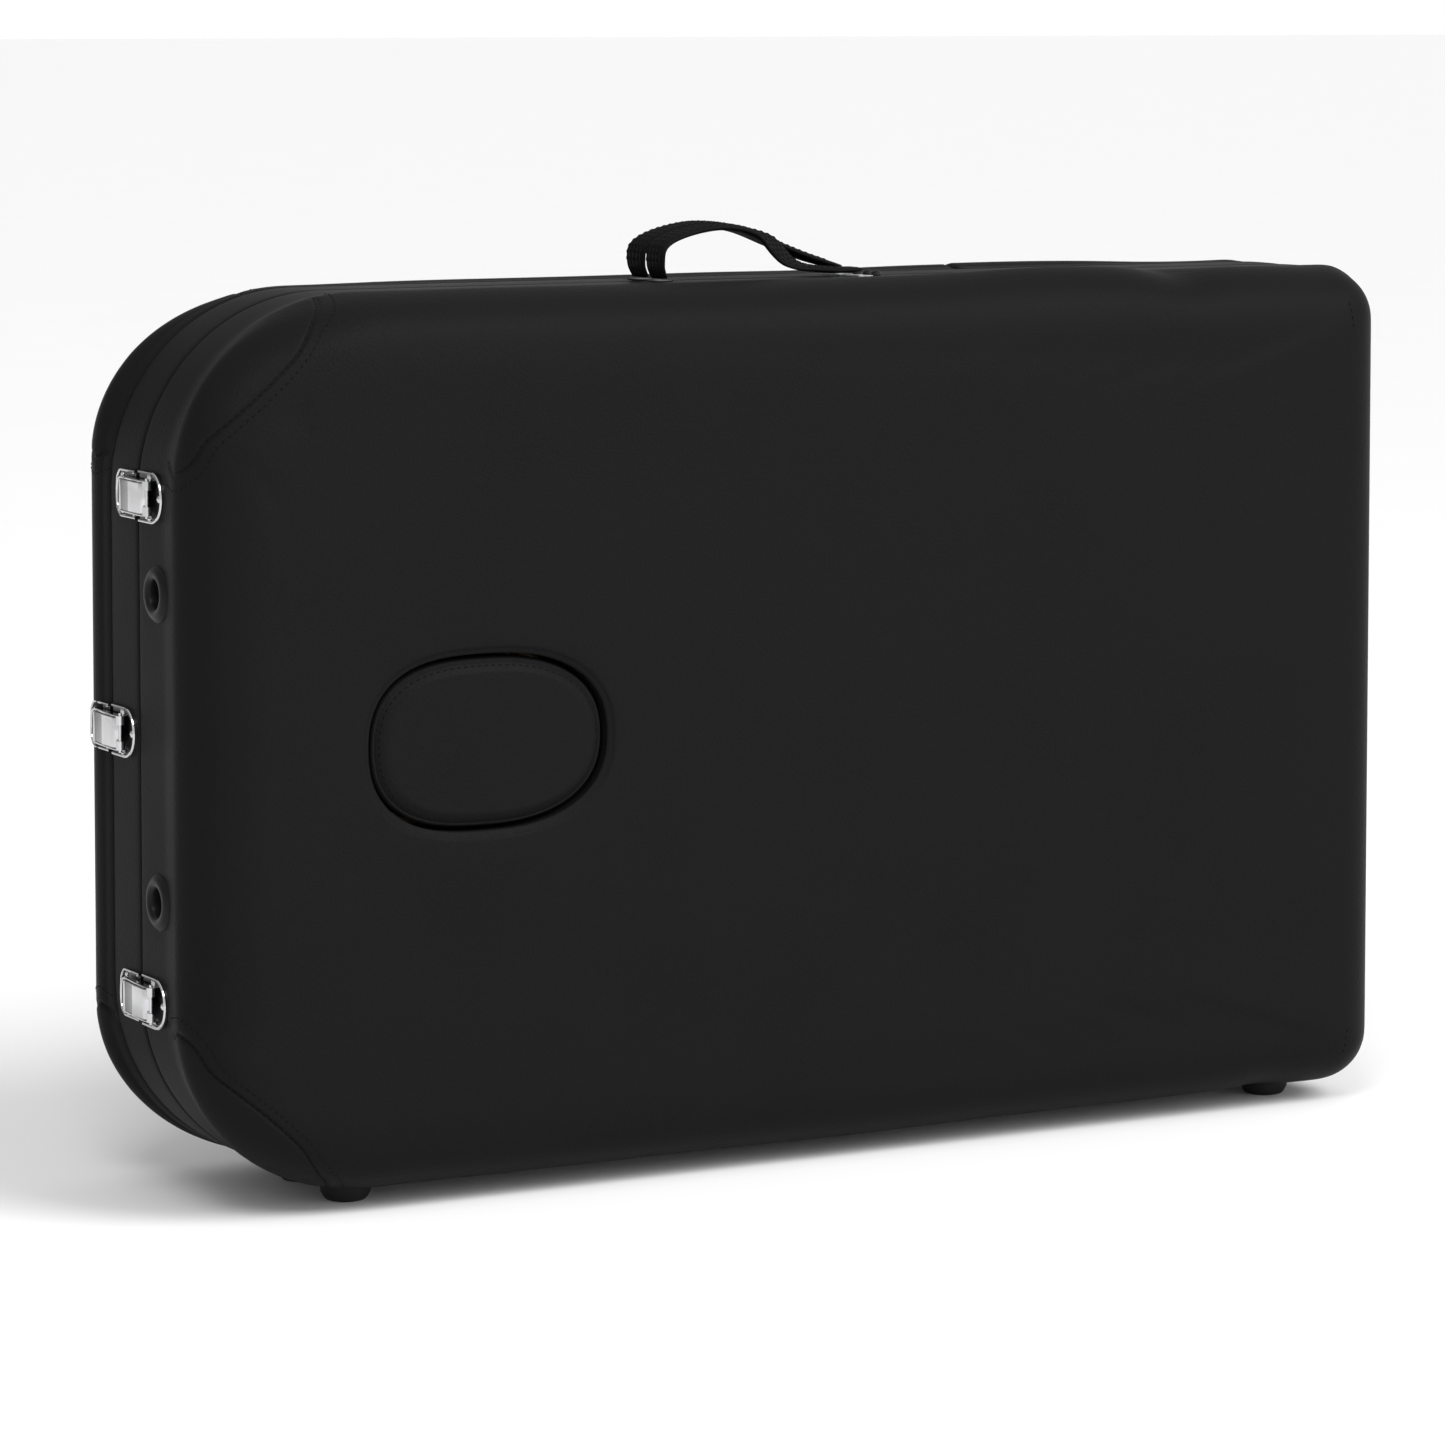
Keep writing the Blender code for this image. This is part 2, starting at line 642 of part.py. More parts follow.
def build_latches(b):
    base = latch_base_mesh(b)
    lever = latch_lever_mesh(b)
    catch = latch_catch_mesh()
    places = (
        ("upper", LATCH_JOINT_Y, MIDDLE + LATCH_OFFSET, None, "main_fold"),
        ("lower", LATCH_JOINT_Y, MIDDLE - LATCH_OFFSET, None, "main_fold"),
        ("middle", LATCH_BACKREST_Y, MIDDLE, "main_fold", "backrest_tilt"),
    )
    for name, y, z, holder, caught in places:
        at = (LATCH_END, y, z)
        b.add(f"latch_base_{name}", base, "chrome", holder, at)
        b.add(f"latch_catch_{name}", catch, "chrome", caught, at)
        turn = (LATCH_END + LATCH_PIN[0], y + LATCH_PIN[1], z)
        b.pivot(f"latch_{name}_turn", turn, holder)
        b.add(f"latch_lever_{name}", lever, "chrome", f"latch_{name}_turn", at)


# -------------------------------------------------------- backrest prop


def build_prop(b):
    """A steel bail that hangs from two brackets under the backrest."""
    x0 = BACKREST_SPLIT_X - PROP_FROM_AXIS
    x1 = x0 + PROP_LENGTH
    half = PROP_HALF_WIDTH
    b.pivot("prop_swing", (x0, PROP_Y, MIDDLE), "backrest_tilt")
    corner = arc((x1 - PROP_BEND, half - PROP_BEND), PROP_BEND, pi / 2, 0, 4)
    elbow = arc((x0 + PROP_BEND, half + PROP_BEND), PROP_BEND, pi, 3 * pi / 2, 4)
    upper = [(x0, half + PROP_EAR)] + elbow + corner
    path = upper + [(x, -z) for x, z in upper[::-1]]
    curve = bpy.data.curves.new("backrest_prop", "CURVE")
    curve.dimensions = "3D"
    curve.bevel_depth = PROP_RADIUS
    curve.bevel_resolution = 2
    curve.use_fill_caps = True
    spline = curve.splines.new("POLY")
    spline.points.add(len(path) - 1)
    for point, (x, z) in zip(spline.points, path):
        point.co = (x - x0, 0, z, 1)
    b.add("backrest_prop", curve, "steel", "prop_swing", (x0, PROP_Y, MIDDLE))
    for name, side in (("lower", -1), ("upper", 1)):
        near = MIDDLE + side * (half + PROP_BEND + 0.001)
        far = MIDDLE + side * (half + PROP_EAR + 0.003)
        block = box_mesh(
            "bracket",
            (x0 - BRACKET_HALF_LENGTH, PROP_Y - 0.007, min(near, far)),
            (
                x0 + BRACKET_HALF_LENGTH,
                BACK_CUSHION_START - DECK_THICKNESS - 2 * GAP,
                max(near, far),
            ),
        )
        ends = (x0, PROP_Y, near - side * PROP_EAR), (x0, PROP_Y, far + side * PROP_EAR)
        hole = cylinder_mesh("hole", *ends, PROP_RADIUS + 0.0005, steps=16)
        mesh = b.bake("bracket", block, [("DIFFERENCE", hole)])
        b.add(f"prop_bracket_{name}", mesh, "plastic", "backrest_tilt")


def build_rack(b):
    """A T-shaped board on the back frame, with the notched rack on its tongue."""
    near, far = CROSSBOARD_X
    tongue = TONGUE_HALF_WIDTH
    edge = [(far, REACH), (near, REACH), (near, tongue), (TONGUE_X, tongue)]
    outline = edge + [(x, -z) for x, z in edge[::-1]]
    board = slab_mesh("board", [(x, MIDDLE + z) for x, z in outline], *CROSSBOARD_Y)
    b.add("prop_crossboard", board, "wood", "main_fold")
    foot, notch, tooth = RACK_Y
    start, end = RACK_X
    profile = [(end, foot), (end, notch)]
    for i in range(RACK_TEETH):
        x = end - 0.001 - i * RACK_PITCH
        profile += [(x, notch), (x - RACK_PITCH * 0.35, tooth), (x - RACK_PITCH * 0.75, tooth)]
    profile += [(start, notch), (start, foot)]
    bm = bmesh.new()
    low = MIDDLE - RACK_HALF_WIDTH
    extrude(bm, [(x, y, low) for x, y in profile], (0, 0, 2 * RACK_HALF_WIDTH))
    b.add("prop_rack", finish_mesh("prop_rack", bm), "wood", "main_fold")


# ----------------------------------------------------- feet and handles


def build_feet(b):
    for half, y, pivot in (("front", FRONT_FOOT_Y, None), ("back", BACK_FOOT_Y, "main_fold")):
        for name, x in (("latch_end", LATCH_FOOT_X), ("hinge_end", HINGE_FOOT_X)):
            foot = cylinder_mesh(
                "foot", (x, y, BOTTOM - GAP), (x, y, 0), FOOT_RADIUS, FOOT_RADIUS - 0.003
            )
            b.add(f"{half}_foot_{name}", foot, "rubber", pivot)


def build_handles(b):
    """Two flat straps, one on each half, that meet in the hand and flop outwards."""
    for half, side, parent in (("front", -1, None), ("back", 1, "main_fold")):
        y = side * (HANDLE_OUTER_Y - HANDLE_WIDTH / 2 - 0.0005)
        hinge = (0, side * HANDLE_OUTER_Y, TOP + 0.002)
        b.pivot(f"{half}_handle_flop", hinge, parent)
        curve = bpy.data.curves.new(f"{half}_handle", "CURVE")
        curve.dimensions = "2D"
        curve.fill_mode = "NONE"
        curve.resolution_u = 6
        curve.extrude = HANDLE_WIDTH / 2
        spline = curve.splines.new("BEZIER")
        spline.bezier_points.add(len(HANDLE_ROUTE) - 1)
        for point, (x, z) in zip(spline.bezier_points, HANDLE_ROUTE):
            point.co = (x, z, 0)
            point.handle_left_type = "AUTO"
            point.handle_right_type = "AUTO"
        strap = b.add(f"{half}_handle", curve, "leather", f"{half}_handle_flop", (0, y, TOP))
        strap.rotation_euler = (pi / 2, 0, 0)
        shell = strap.modifiers.new("thickness", "SOLIDIFY")
        shell.thickness = HANDLE_THICKNESS
        shell.offset = 0


def main():
    clear_scene()
    b = Builder()
    build_front_half(b)
    build_plug(b)
    build_back_half(b)
    build_fold_hinge(b)
    build_legs(b, "front", -1, FRONT_LEG_OFFSET, None)
    build_legs(b, "back", 1, BACK_LEG_OFFSET, "main_fold")
    build_latches(b)
    build_prop(b)
    build_rack(b)
    build_feet(b)
    build_handles(b)


main()
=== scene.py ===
"""Dresses the folded portable massage table: upholstery, stitching, latches, handles and wood."""

from math import cos, pi, radians, sin

import bmesh
import bpy
import numpy as np
from bpy.props import FloatProperty, FloatVectorProperty, PointerProperty
from bpy.types import Operator, Panel, PropertyGroup
from mathutils import Matrix, Vector
from mathutils.bvhtree import BVHTree


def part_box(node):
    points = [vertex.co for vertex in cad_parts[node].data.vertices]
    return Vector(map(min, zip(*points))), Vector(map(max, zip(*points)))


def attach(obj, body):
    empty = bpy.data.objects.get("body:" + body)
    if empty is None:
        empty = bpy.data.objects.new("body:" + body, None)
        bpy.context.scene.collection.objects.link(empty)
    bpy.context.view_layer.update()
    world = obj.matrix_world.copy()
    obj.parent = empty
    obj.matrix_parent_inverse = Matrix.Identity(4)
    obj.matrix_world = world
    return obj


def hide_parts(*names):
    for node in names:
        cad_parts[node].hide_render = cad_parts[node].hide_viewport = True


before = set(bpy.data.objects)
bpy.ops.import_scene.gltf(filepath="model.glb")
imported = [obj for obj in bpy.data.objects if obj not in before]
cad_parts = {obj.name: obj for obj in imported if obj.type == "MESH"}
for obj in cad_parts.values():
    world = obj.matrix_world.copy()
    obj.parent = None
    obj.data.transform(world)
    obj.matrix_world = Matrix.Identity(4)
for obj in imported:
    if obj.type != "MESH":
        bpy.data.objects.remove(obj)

bl_info = {
    "name": "Portable massage table",
    "version": (1, 0, 0),
    "blender": (4, 5, 0),
    "location": "3D View > Sidebar > Massage table",
    "description": "Upholsters and finishes a folded two-section massage table",
    "category": "Object",
}

# The case as it was packed
CASE_LOW, CASE_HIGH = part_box("front_skirt")
LATCH_END = CASE_LOW.x
HINGE_END = CASE_HIGH.x
BOTTOM = CASE_LOW.z
TOP = CASE_HIGH.z
MIDDLE = (BOTTOM + TOP) / 2
FACE = -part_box("front_cushion")[0].y
FRONT_FOAM = -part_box("front_cushion")[1].y
BACK_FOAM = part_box("seat_cushion")[0].y
BACK_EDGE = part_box("back_skirt")[1].y
BACKREST_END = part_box("backrest_cushion")[1].x
SEAT_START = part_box("seat_cushion")[0].x
HOLE_LOW, HOLE_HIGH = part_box("face_plug_cushion")
HALVES = (("front", -1), ("back", 1))
# How far each latch was screwed on above its mark
LATCH_SHIFT = {"upper": -0.0035, "lower": -0.0018, "middle": 0.0046}


# ------------------------------------------------------------- settings


def length(name, description, default):
    return FloatProperty(
        name=name, description=description, default=default, subtype="DISTANCE", unit="LENGTH"
    )


def colour(name, description, default):
    return FloatVectorProperty(
        name=name, description=description, default=default, subtype="COLOR", min=0, max=1
    )


class CaseSettings(PropertyGroup):
    latch_round: length("Latch end corner", "Radius of the corners at the latch end", 0.130)
    hinge_round: length("Hinge end corner", "Radius of the corners at the fold hinge", 0.025)
    shoulder: length("Shoulder", "How far the cushion's rounding reaches into its face", 0.042)
    shoulder_drop: length("Shoulder drop", "How far down the sides the rounding reaches", 0.046)
    puff: length("Puff", "Most that the stuffing swells a cushion", 0.0035)
    leather: length("Leather", "Thickness of the leatherette", 0.0013)
    hem: length("Hem", "Distance from the hem to the joint of the halves", 0.0002)


class StitchSettings(PropertyGroup):
    pitch: length("Pitch", "Distance from stitch to stitch", 0.0050)
    stitch: length("Stitch", "Length of one stitch on the surface", 0.0036)
    thread: length("Thread", "Thickness of the thread", 0.0010)
    row_gap: length("Row gap", "Distance between the seam and its top stitching", 0.0065)
    groove: length("Groove", "Depth of the seam of a corner patch", 0.0012)


class FinishSettings(PropertyGroup):
    leather: colour("Leather", "Black leatherette", (0.0064, 0.0064, 0.0066))
    thread: colour("Thread", "Black polyester thread", (0.002, 0.002, 0.002))
    beech: colour("Beech", "Oiled beech", (0.50, 0.31, 0.165))
    plastic: colour("Plastic", "Black moulded plastic", (0.0055, 0.0055, 0.0058))
    rubber: colour("Rubber", "Black rubber", (0.014, 0.014, 0.014))
    chrome: colour("Chrome", "Chrome plate", (0.58, 0.58, 0.59))
    steel: colour("Steel", "Zinc plated steel", (0.46, 0.47, 0.48))
    aluminium: colour("Aluminium", "Anodised aluminium", (0.66, 0.67, 0.69))


class StageSettings(PropertyGroup):
    camera: FloatVectorProperty(
        name="Camera",
        description="Place of the camera",
        default=(-1.8222, -3.2911, 0.7961),
        subtype="TRANSLATION",
        unit="LENGTH",
    )
    turn: FloatProperty(
        name="Turn", description="Camera's turn about Z", default=radians(-28.659), subtype="ANGLE"
    )
    tilt: FloatProperty(
        name="Tilt", description="Camera's tilt below level", default=radians(4.354),
        subtype="ANGLE",
    )
    lens: FloatProperty(name="Lens", description="Focal length, in mm", default=134.55)
    shift: FloatProperty(name="Shift", description="Camera's vertical shift", default=-0.2111)
    floor: colour("Floor", "Pale floor", (0.86, 0.86, 0.86))


# ------------------------------------------------------------- finishes


def node(tree, kind, output, inputs=None, **settings):
    """Adds a node and gives one output; an input is a value or the output that feeds it."""
    made = tree.nodes.new("ShaderNode" + kind)
    for name, value in settings.items():
        setattr(made, name, value)
    for key, value in (inputs or {}).items():
        if isinstance(value, bpy.types.NodeSocket):
            tree.links.new(value, made.inputs[key])
        else:
            made.inputs[key].default_value = value
    return made.outputs[output]


def noise(tree, vector, scale, detail=2.0, output="Fac", **inputs):
    inputs = {"Vector": vector, "Scale": scale, "Detail": detail, **inputs}
    return node(tree, "TexNoise", output, inputs)


def bump(tree, height, strength, distance, under=None):
    """Bends the normal by a height, over the normal of a coarser or finer bump."""
    inputs = {"Height": height, "Strength": strength, "Distance": distance}
    if under:
        inputs["Normal"] = under
    return node(tree, "Bump", "Normal", inputs)


def mix(tree, factor, a, b):
    inputs = {"Factor": factor, "A": a, "B": b}
    return node(tree, "Mix", 0, inputs, data_type="FLOAT")


def product(tree, a, b):
    return node(tree, "Math", "Value", {0: a, 1: b}, operation="MULTIPLY")


def blank(name):
    """A new material, its node tree and the place of a point on its object."""
    made = bpy.data.materials.new(name)
    made.use_nodes = True
    return made, made.node_tree, node(made.node_tree, "TexCoord", "Object")


def dressed(made, tree, normal=None, **sockets):
    """Sets or feeds the shader's sockets, named with _ for each space."""
    inputs = tree.nodes["Principled BSDF"].inputs
    if normal:
        tree.links.new(normal, inputs["Normal"])
    for name, value in sockets.items():
        socket = inputs[name.replace("_", " ")]
        if isinstance(value, bpy.types.NodeSocket):
            tree.links.new(value, socket)
        else:
            socket.default_value = value
    return made


def spread(tree, value, low, high):
    """Maps a 0 to 1 value to a range."""
    return node(tree, "MapRange", "Result", {"Value": value, "To Min": low, "To Max": high})


def shades(tree, value, tint, dark, light):
    """A tint between its darker and its lighter self, by a value."""
    colour_made = node(tree, "ValToRGB", "Color", {"Fac": value})
    for element, factor in zip(colour_made.node.color_ramp.elements, (dark, light)):
        element.color = (*times(tint, factor), 1)
    return colour_made


def scaled(tree, vector, scale):
    return node(tree, "Mapping", "Vector", {"Vector": vector, "Scale": scale})


def times(colour_value, factor):
    return tuple(min(1.0, channel * factor) for channel in colour_value)


def leather_finish(name, tint, gloss=0.44):
    """Fine pebble grain with broad, faint differences in tone and sheen."""
    made, tree, place = blank(name)
    wander = noise(tree, place, 160.0, output="Color")
    reach = (0.0016, 0.0016, 0.0016)
    drift = node(tree, "VectorMath", "Vector", {0: wander, 1: reach}, operation="MULTIPLY")
    shaken = node(tree, "VectorMath", "Vector", {0: place, 1: drift}, operation="ADD")
    inputs = {"Vector": shaken, "Scale": 640.0, "Smoothness": 0.7}
    pebble = node(tree, "TexVoronoi", "Distance", inputs, feature="SMOOTH_F1")
    inputs = {"Vector": shaken, "Scale": 270.0}
    crease = node(tree, "TexVoronoi", "Distance", inputs, feature="DISTANCE_TO_EDGE")
    broad = noise(tree, place, 9.0, 4.0)
    pores = noise(tree, place, 2600.0)
    both = node(tree, "Math", "Value", {0: broad, 1: pebble}, operation="ADD", use_clamp=True)
    fine = bump(tree, pores, 0.25, 0.00008)
    folds = bump(tree, crease, 0.2, 0.0003, fine)
    return dressed(
        made,
        tree,
        bump(tree, pebble, 0.55, 0.0004, folds),
        Base_Color=shades(tree, both, tint, 0.82, 1.22),
        Roughness=spread(tree, broad, gloss - 0.06, gloss + 0.08),
        Specular_IOR_Level=0.025,
    )


def thread_finish(name, tint):
    """Twisted thread: fine slanting ridges."""
    made, tree, place = blank(name)
    inputs = {"Vector": place, "Scale": 900.0, "Distortion": 1.5}
    twist = node(tree, "TexWave", "Fac", inputs, bands_direction="DIAGONAL")
    return dressed(
        made,
        tree,
        bump(tree, twist, 0.5, 0.0002),
        Base_Color=shades(tree, twist, tint, 0.6, 1.6),
        Roughness=0.7,
        Specular_IOR_Level=0.1,
    )


def metal_finish(name, tint, roughness, brush=(1.0, 1.0, 1.0), worn=0.25):
    """Metal with drawn or random fine marks and a little smudging."""
    made, tree, place = blank(name)
    marks = noise(tree, scaled(tree, place, brush), 700.0, 3.0)
    smudge = noise(tree, place, 60.0, 3.0)
    mixed = product(tree, marks, smudge)
    return dressed(
        made,
        tree,
        bump(tree, marks, 0.12, 0.00005),
        Base_Color=shades(tree, smudge, tint, 1 - worn, 1 + worn / 2),
        Roughness=spread(tree, mixed, roughness * 0.6, roughness * 2.2),
        Metallic=1.0,
    )


def wood_finish(name, tint, along, layers=False):
    """Straight grain along one axis with pores; layers adds the plies along Y."""
    made, tree, place = blank(name)
    drawn = scaled(tree, place, tuple(0.05 if axis == along else 1.0 for axis in "XYZ"))
    grain = noise(tree, drawn, 190.0, 6.0, Distortion=0.6)
    pores = noise(tree, drawn, 1400.0)
    value = product(tree, grain, pores)
    if layers:
        inputs = {"Vector": place, "Scale": 190.0, "Distortion": 0.3}
        value = mix(tree, 0.25, value, node(tree, "TexWave", "Fac", inputs, bands_direction="Y"))
    return dressed(
        made,
        tree,
        bump(tree, value, 0.25, 0.0002),
        Base_Color=shades(tree, spread(tree, value, -0.6, 1.9), tint, 0.62, 1.15),
        Roughness=spread(tree, pores, 0.38, 0.62),
    )


def moulded_finish(name, tint, roughness, texture):
    """Plastic or rubber from a spark-eroded mould."""
    made, tree, place = blank(name)
    dust = noise(tree, place, 45.0, 4.0)
    return dressed(
        made,
        tree,
        bump(tree, noise(tree, place, texture, 3.0), 0.3, 0.00012),
        Base_Color=shades(tree, dust, tint, 0.8, 1.5),
        Roughness=spread(tree, dust, roughness - 0.06, roughness + 0.1),
        Specular_IOR_Level=0.12,
    )


def finish(name):
    """The named finish, made the first time that it is asked for."""
    if name in bpy.data.materials:
        return bpy.data.materials[name]
    tints = bpy.context.scene.massage_table_finishes
    leather, chrome, beech = tints.leather, tints.chrome, tints.beech
    maker, *values = {
        "black_leatherette": (leather_finish, leather),
        "handle_leatherette": (leather_finish, times(leather, 0.8), 0.5),
        "black_thread": (thread_finish, tints.thread),
        "chrome_plate": (metal_finish, chrome, 0.12),
        # Darker copies of the chrome: painted shade on the lever's facets and a painted dark
        # reflection on the plates' flats
        "chrome_facet": (metal_finish, times(chrome, 0.36), 0.2),
        "chrome_recess": (metal_finish, times(chrome, 0.07), 0.3),
        "zinc_steel": (metal_finish, tints.steel, 0.30),
        "drawn_aluminium": (metal_finish, tints.aluminium, 0.26, (0.03, 1.0, 1.0), 0.1),
        "beech_along": (wood_finish, beech, "X"),
        "beech_across": (wood_finish, beech, "Z"),
        "birch_ply": (wood_finish, times(beech, 1.12), "X", True),
        "moulded_plastic": (moulded_finish, tints.plastic, 0.36, 1500.0),
        "black_rubber": (moulded_finish, tints.rubber, 0.62, 900.0),
    }[name]
    return maker(name, *values)


# --------------------------------------------------------------- making


def add_piece(name, mesh, finish_name, body, stands_for=(), others=()):
    """Puts a mesh in the scene, on its body, in its finish and the finishes of other faces."""
    piece = bpy.data.objects.new(name, mesh)
    bpy.context.scene.collection.objects.link(piece)
    for wanted in (finish_name, *others):
        mesh.materials.append(finish(wanted))
    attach(piece, body)
    if stands_for:
        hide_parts(*stands_for)
    return piece


def shell(name, points, faces, weld=0.0):
    """A smooth mesh of points and faces with its normals outwards, near points joined."""
    mesh = bpy.data.meshes.new(name)
    mesh.from_pydata(points, [], faces)
    bm = bmesh.new()
    bm.from_mesh(mesh)
    if weld:
        bmesh.ops.remove_doubles(bm, verts=bm.verts, dist=weld)
    bmesh.ops.recalc_face_normals(bm, faces=bm.faces)
    bm.to_mesh(mesh)
    bm.free()
    mesh.shade_smooth()
    return mesh


# Edges that bend more than this, in degrees, are drawn sharp
SHARP = 40


def bm_mesh(name, bm, sharp=SHARP):
    bmesh.ops.remove_doubles(bm, verts=bm.verts, dist=0.000005)
    bmesh.ops.recalc_face_normals(bm, faces=bm.faces)
    mesh = bpy.data.meshes.new(name)
    bm.to_mesh(mesh)
    bm.free()
    mesh.shade_smooth()
    mesh.set_sharp_from_angle(angle=radians(sharp))
    return mesh


def ring_faces(rings, count, closed):
    """Quads between successive rings of points; closed joins the last ring to the first."""
    faces = []
    for r in range(rings if closed else rings - 1):
        a, b = r * count, (r + 1) % rings * count
        for i in range(count):
            j = (i + 1) % count
            faces.append((a + i, a + j, b + j, b + i))
    return faces


def loft(name, rings, closed=False, centre_first=False, centre_last=False):
    """A mesh through rings of points, each end left open or filled to its centre."""
    rings = np.asarray(rings, float)
    count = rings.shape[1]
    points = rings.reshape(-1, 3).tolist()
    faces = ring_faces(len(rings), count, closed)
    for wanted, ring in ((centre_first, 0), (centre_last, len(rings) - 1)):
        if wanted:
            points.append(rings[ring].mean(0).tolist())
            first, hub = ring * count, len(points) - 1
            faces += [(first + i, first + (i + 1) % count, hub) for i in range(count)]
    return shell(name, points, faces)


def ring_grid(ring, corners):
    """Even points inside a ring, between four of its points: two on the right, two on the left."""
    count = len(ring)
    a, b, c, d = corners

    def side(first, last):
        return ring[np.arange(first, last + 1) % count]

    right, top = side(a, b), side(b, c)[::-1]
    left, bottom = side(c, d)[::-1], side(d, a + count)
    u = np.linspace(0, 1, len(bottom))[:, None, None]
    v = np.linspace(0, 1, len(right))[None, :, None]
    grid = (1 - v) * bottom[:, None] + v * top[:, None] + (1 - u) * left[None] + u * right[None]
    grid -= (1 - u) * ((1 - v) * left[0] + v * left[-1])
    grid -= u * ((1 - v) * right[0] + v * right[-1])
    return grid


def filled_loft(name, rings, corners):
    """A closed mesh through rings of points, with both ends filled by an even grid."""
    rings = np.asarray(rings, float)
    points = rings.reshape(-1, 3).tolist()
    faces = ring_faces(len(rings), rings.shape[1], False)
    for ring in (rings[0], rings[-1]):
        grid = ring_grid(ring, corners)
        rows, columns = grid.shape[:2]
        for i in range(rows - 1):
            for k in range(len(points) + i * columns, len(points) + (i + 1) * columns - 1):
                faces.append((k, k + columns, k + columns + 1, k + 1))
        points += grid.reshape(-1, 3).tolist()
    return shell(name, points, faces, weld=0.000002)


def turned(name, profile, place, steps=48):
    """A closed profile of (radius, height) points turned about an axis and set in place."""
    angles = np.linspace(0, 2 * pi, steps, endpoint=False)
    unit = np.column_stack([np.cos(angles), np.sin(angles)])
    rings = [level(unit * r, h)[:, [0, 2, 1]] for r, h in profile]
    hollow = profile[0][0] > 0
    mesh = loft(name, rings, closed=hollow, centre_first=not hollow)
    mesh.transform(place)
    mesh.set_sharp_from_angle(angle=radians(SHARP))
    return mesh


def smooth_path(points, count):
    """A smooth curve through points, evenly spaced."""
    points = np.asarray(points, float)
    ends = np.vstack([2 * points[0] - points[1], points, 2 * points[-1] - points[-2]])
    t = np.linspace(0, 1, 24, endpoint=False)[:, None]
    made = []
    for a, b, c, d in zip(ends, ends[1:], ends[2:], ends[3:]):
        square, cube = a - 2.5 * b + 2 * c - d / 2, (d - a) / 2 + 1.5 * (b - c)
        made.append(b + t * (c - a) / 2 + t**2 * square + t**3 * cube)
    return even(np.vstack(made + [points[-1:]]), count)


def even(path, count):
    """The same path with count points at equal distances."""
    steps = np.linalg.norm(np.diff(path, axis=0), axis=1)
    along = np.concatenate([[0], np.cumsum(steps)])
    wanted = np.linspace(0, along[-1], count)
    return np.column_stack([np.interp(wanted, along, path[:, k]) for k in range(path.shape[1])])


def vectors(mesh, field="co"):
    """The place or the normal of each vertex, as rows of X, Y and Z."""
    made = np.zeros(len(mesh.vertices) * 3, np.float32)
    mesh.vertices.foreach_get(field, made)
    return made.reshape(-1, 3).astype(float)


def move_to(mesh, places):
    mesh.vertices.foreach_set("co", places.astype(np.float32).ravel())
    mesh.update()


def apply_modifiers(piece):
    graph = bpy.context.evaluated_depsgraph_get()
    made = bpy.data.meshes.new_from_object(piece.evaluated_get(graph))
    piece.modifiers.clear()
    old = piece.data
    piece.data = made
    bpy.data.meshes.remove(old)


# ----------------------------------------------------------- upholstery


# Points of a panel's outline at the middle of its four corners, in its own order
PANEL_CORNERS = (4, 70, 173, 239)
# The least radius of an outline's corner, and the radius up to which foam keeps the frame's corner
LEAST_ROUND = 0.003
SHARP_CORNER = 0.010
# How full a shoulder is: lower is squarer
FULLNESS = 0.92
# How much of the puff the flat face of a cushion leaves room for
FACE_SHARE = 0.7
# Points of the plug's outline where its face's grid has its corners, and the most that it swells
PLUG_CORNERS = (-16, 16, 48, 80)
PLUG_PUFF = 0.0022


def panel_ring(inset, x0, x1, start_round, end_round, soft=0.0):
    """The outline of a panel in X and Z, moved in by an inset, always with as many points.

    soft, from 0 to 1, is how far the corners are from the frame's: the foam's are rounder.
    """
    z0, z1 = BOTTOM + inset, TOP - inset
    left, right = x0 + inset, x1 - inset
    near = max(start_round - inset, LEAST_ROUND)
    far = max(end_round - inset, LEAST_ROUND)
    if end_round > SHARP_CORNER:
        far += 0.011 * soft
    wide, high = near, near
    if start_round > SHARP_CORNER:
        wide, high = near + 0.010 * soft, near - 0.018 * soft
    # Centre, radii and steps of each corner, and the steps of the straight run after it
    corners = (
        (right - far, z0 + far, far, far, 8, 58),
        (right - far, z1 - far, far, far, 8, 86),
        (left + wide, z1 - high, wide, high, 26, 40),
        (left + wide, z0 + high, wide, high, 26, 86),
    )
    arcs = []
    for number, (cx, cz, rx, rz, steps, _) in enumerate(corners):
        angles = (number - 1) * pi / 2 + np.linspace(0, pi / 2, steps + 1)
        arcs.append(np.column_stack([cx + rx * np.cos(angles), cz + rz * np.sin(angles)]))
    points = []
    for arc, following, corner in zip(arcs, arcs[1:] + arcs[:1], corners):
        t = np.linspace(0, 1, corner[5] + 1)[1:-1, None]
        points += [arc, arc[-1] * (1 - t) + following[0] * t]
    return np.vstack(points)


def case_ring(case, inset, y, soft=0.0, side=1):
    """The outline of a whole half at a distance from the joint of the halves."""
    ring = panel_ring(inset, LATCH_END, HINGE_END, case.latch_round, case.hinge_round, soft)
    return level(ring, side * y)


def level(ring, y):
    return np.column_stack([ring[:, 0], np.full(len(ring), y), ring[:, 1]])


def softness(y):
    """0 where the cover lies on the frame, 1 on the foam's shoulder."""
    return float(np.clip((y - BACK_FOAM - 0.001) / 0.016, 0, 1))


def shoulder_stations(case, face, base=-0.0014, steps=11):
    """(inset, y) from the side of a cushion over its rounded shoulder."""
    made = []
    for angle in np.linspace(0, pi / 2, steps + 1):
        out, up = 1 - cos(angle) ** FULLNESS, 1 - sin(angle) ** FULLNESS
        made.append((base + (case.shoulder - base) * out, face - case.shoulder_drop * up))
    return made


# The short simulation that shows where the stuffing lifts a cover
CLOTH_FRAMES = 20
CLOTH_SETTINGS = {
    "vertex_group_mass": "held",
    "use_pressure": True,
    "uniform_pressure_force": 4.0,
    "tension_stiffness": 40,
    "compression_stiffness": 40,
    "bending_stiffness": 3,
    "quality": 4,
}


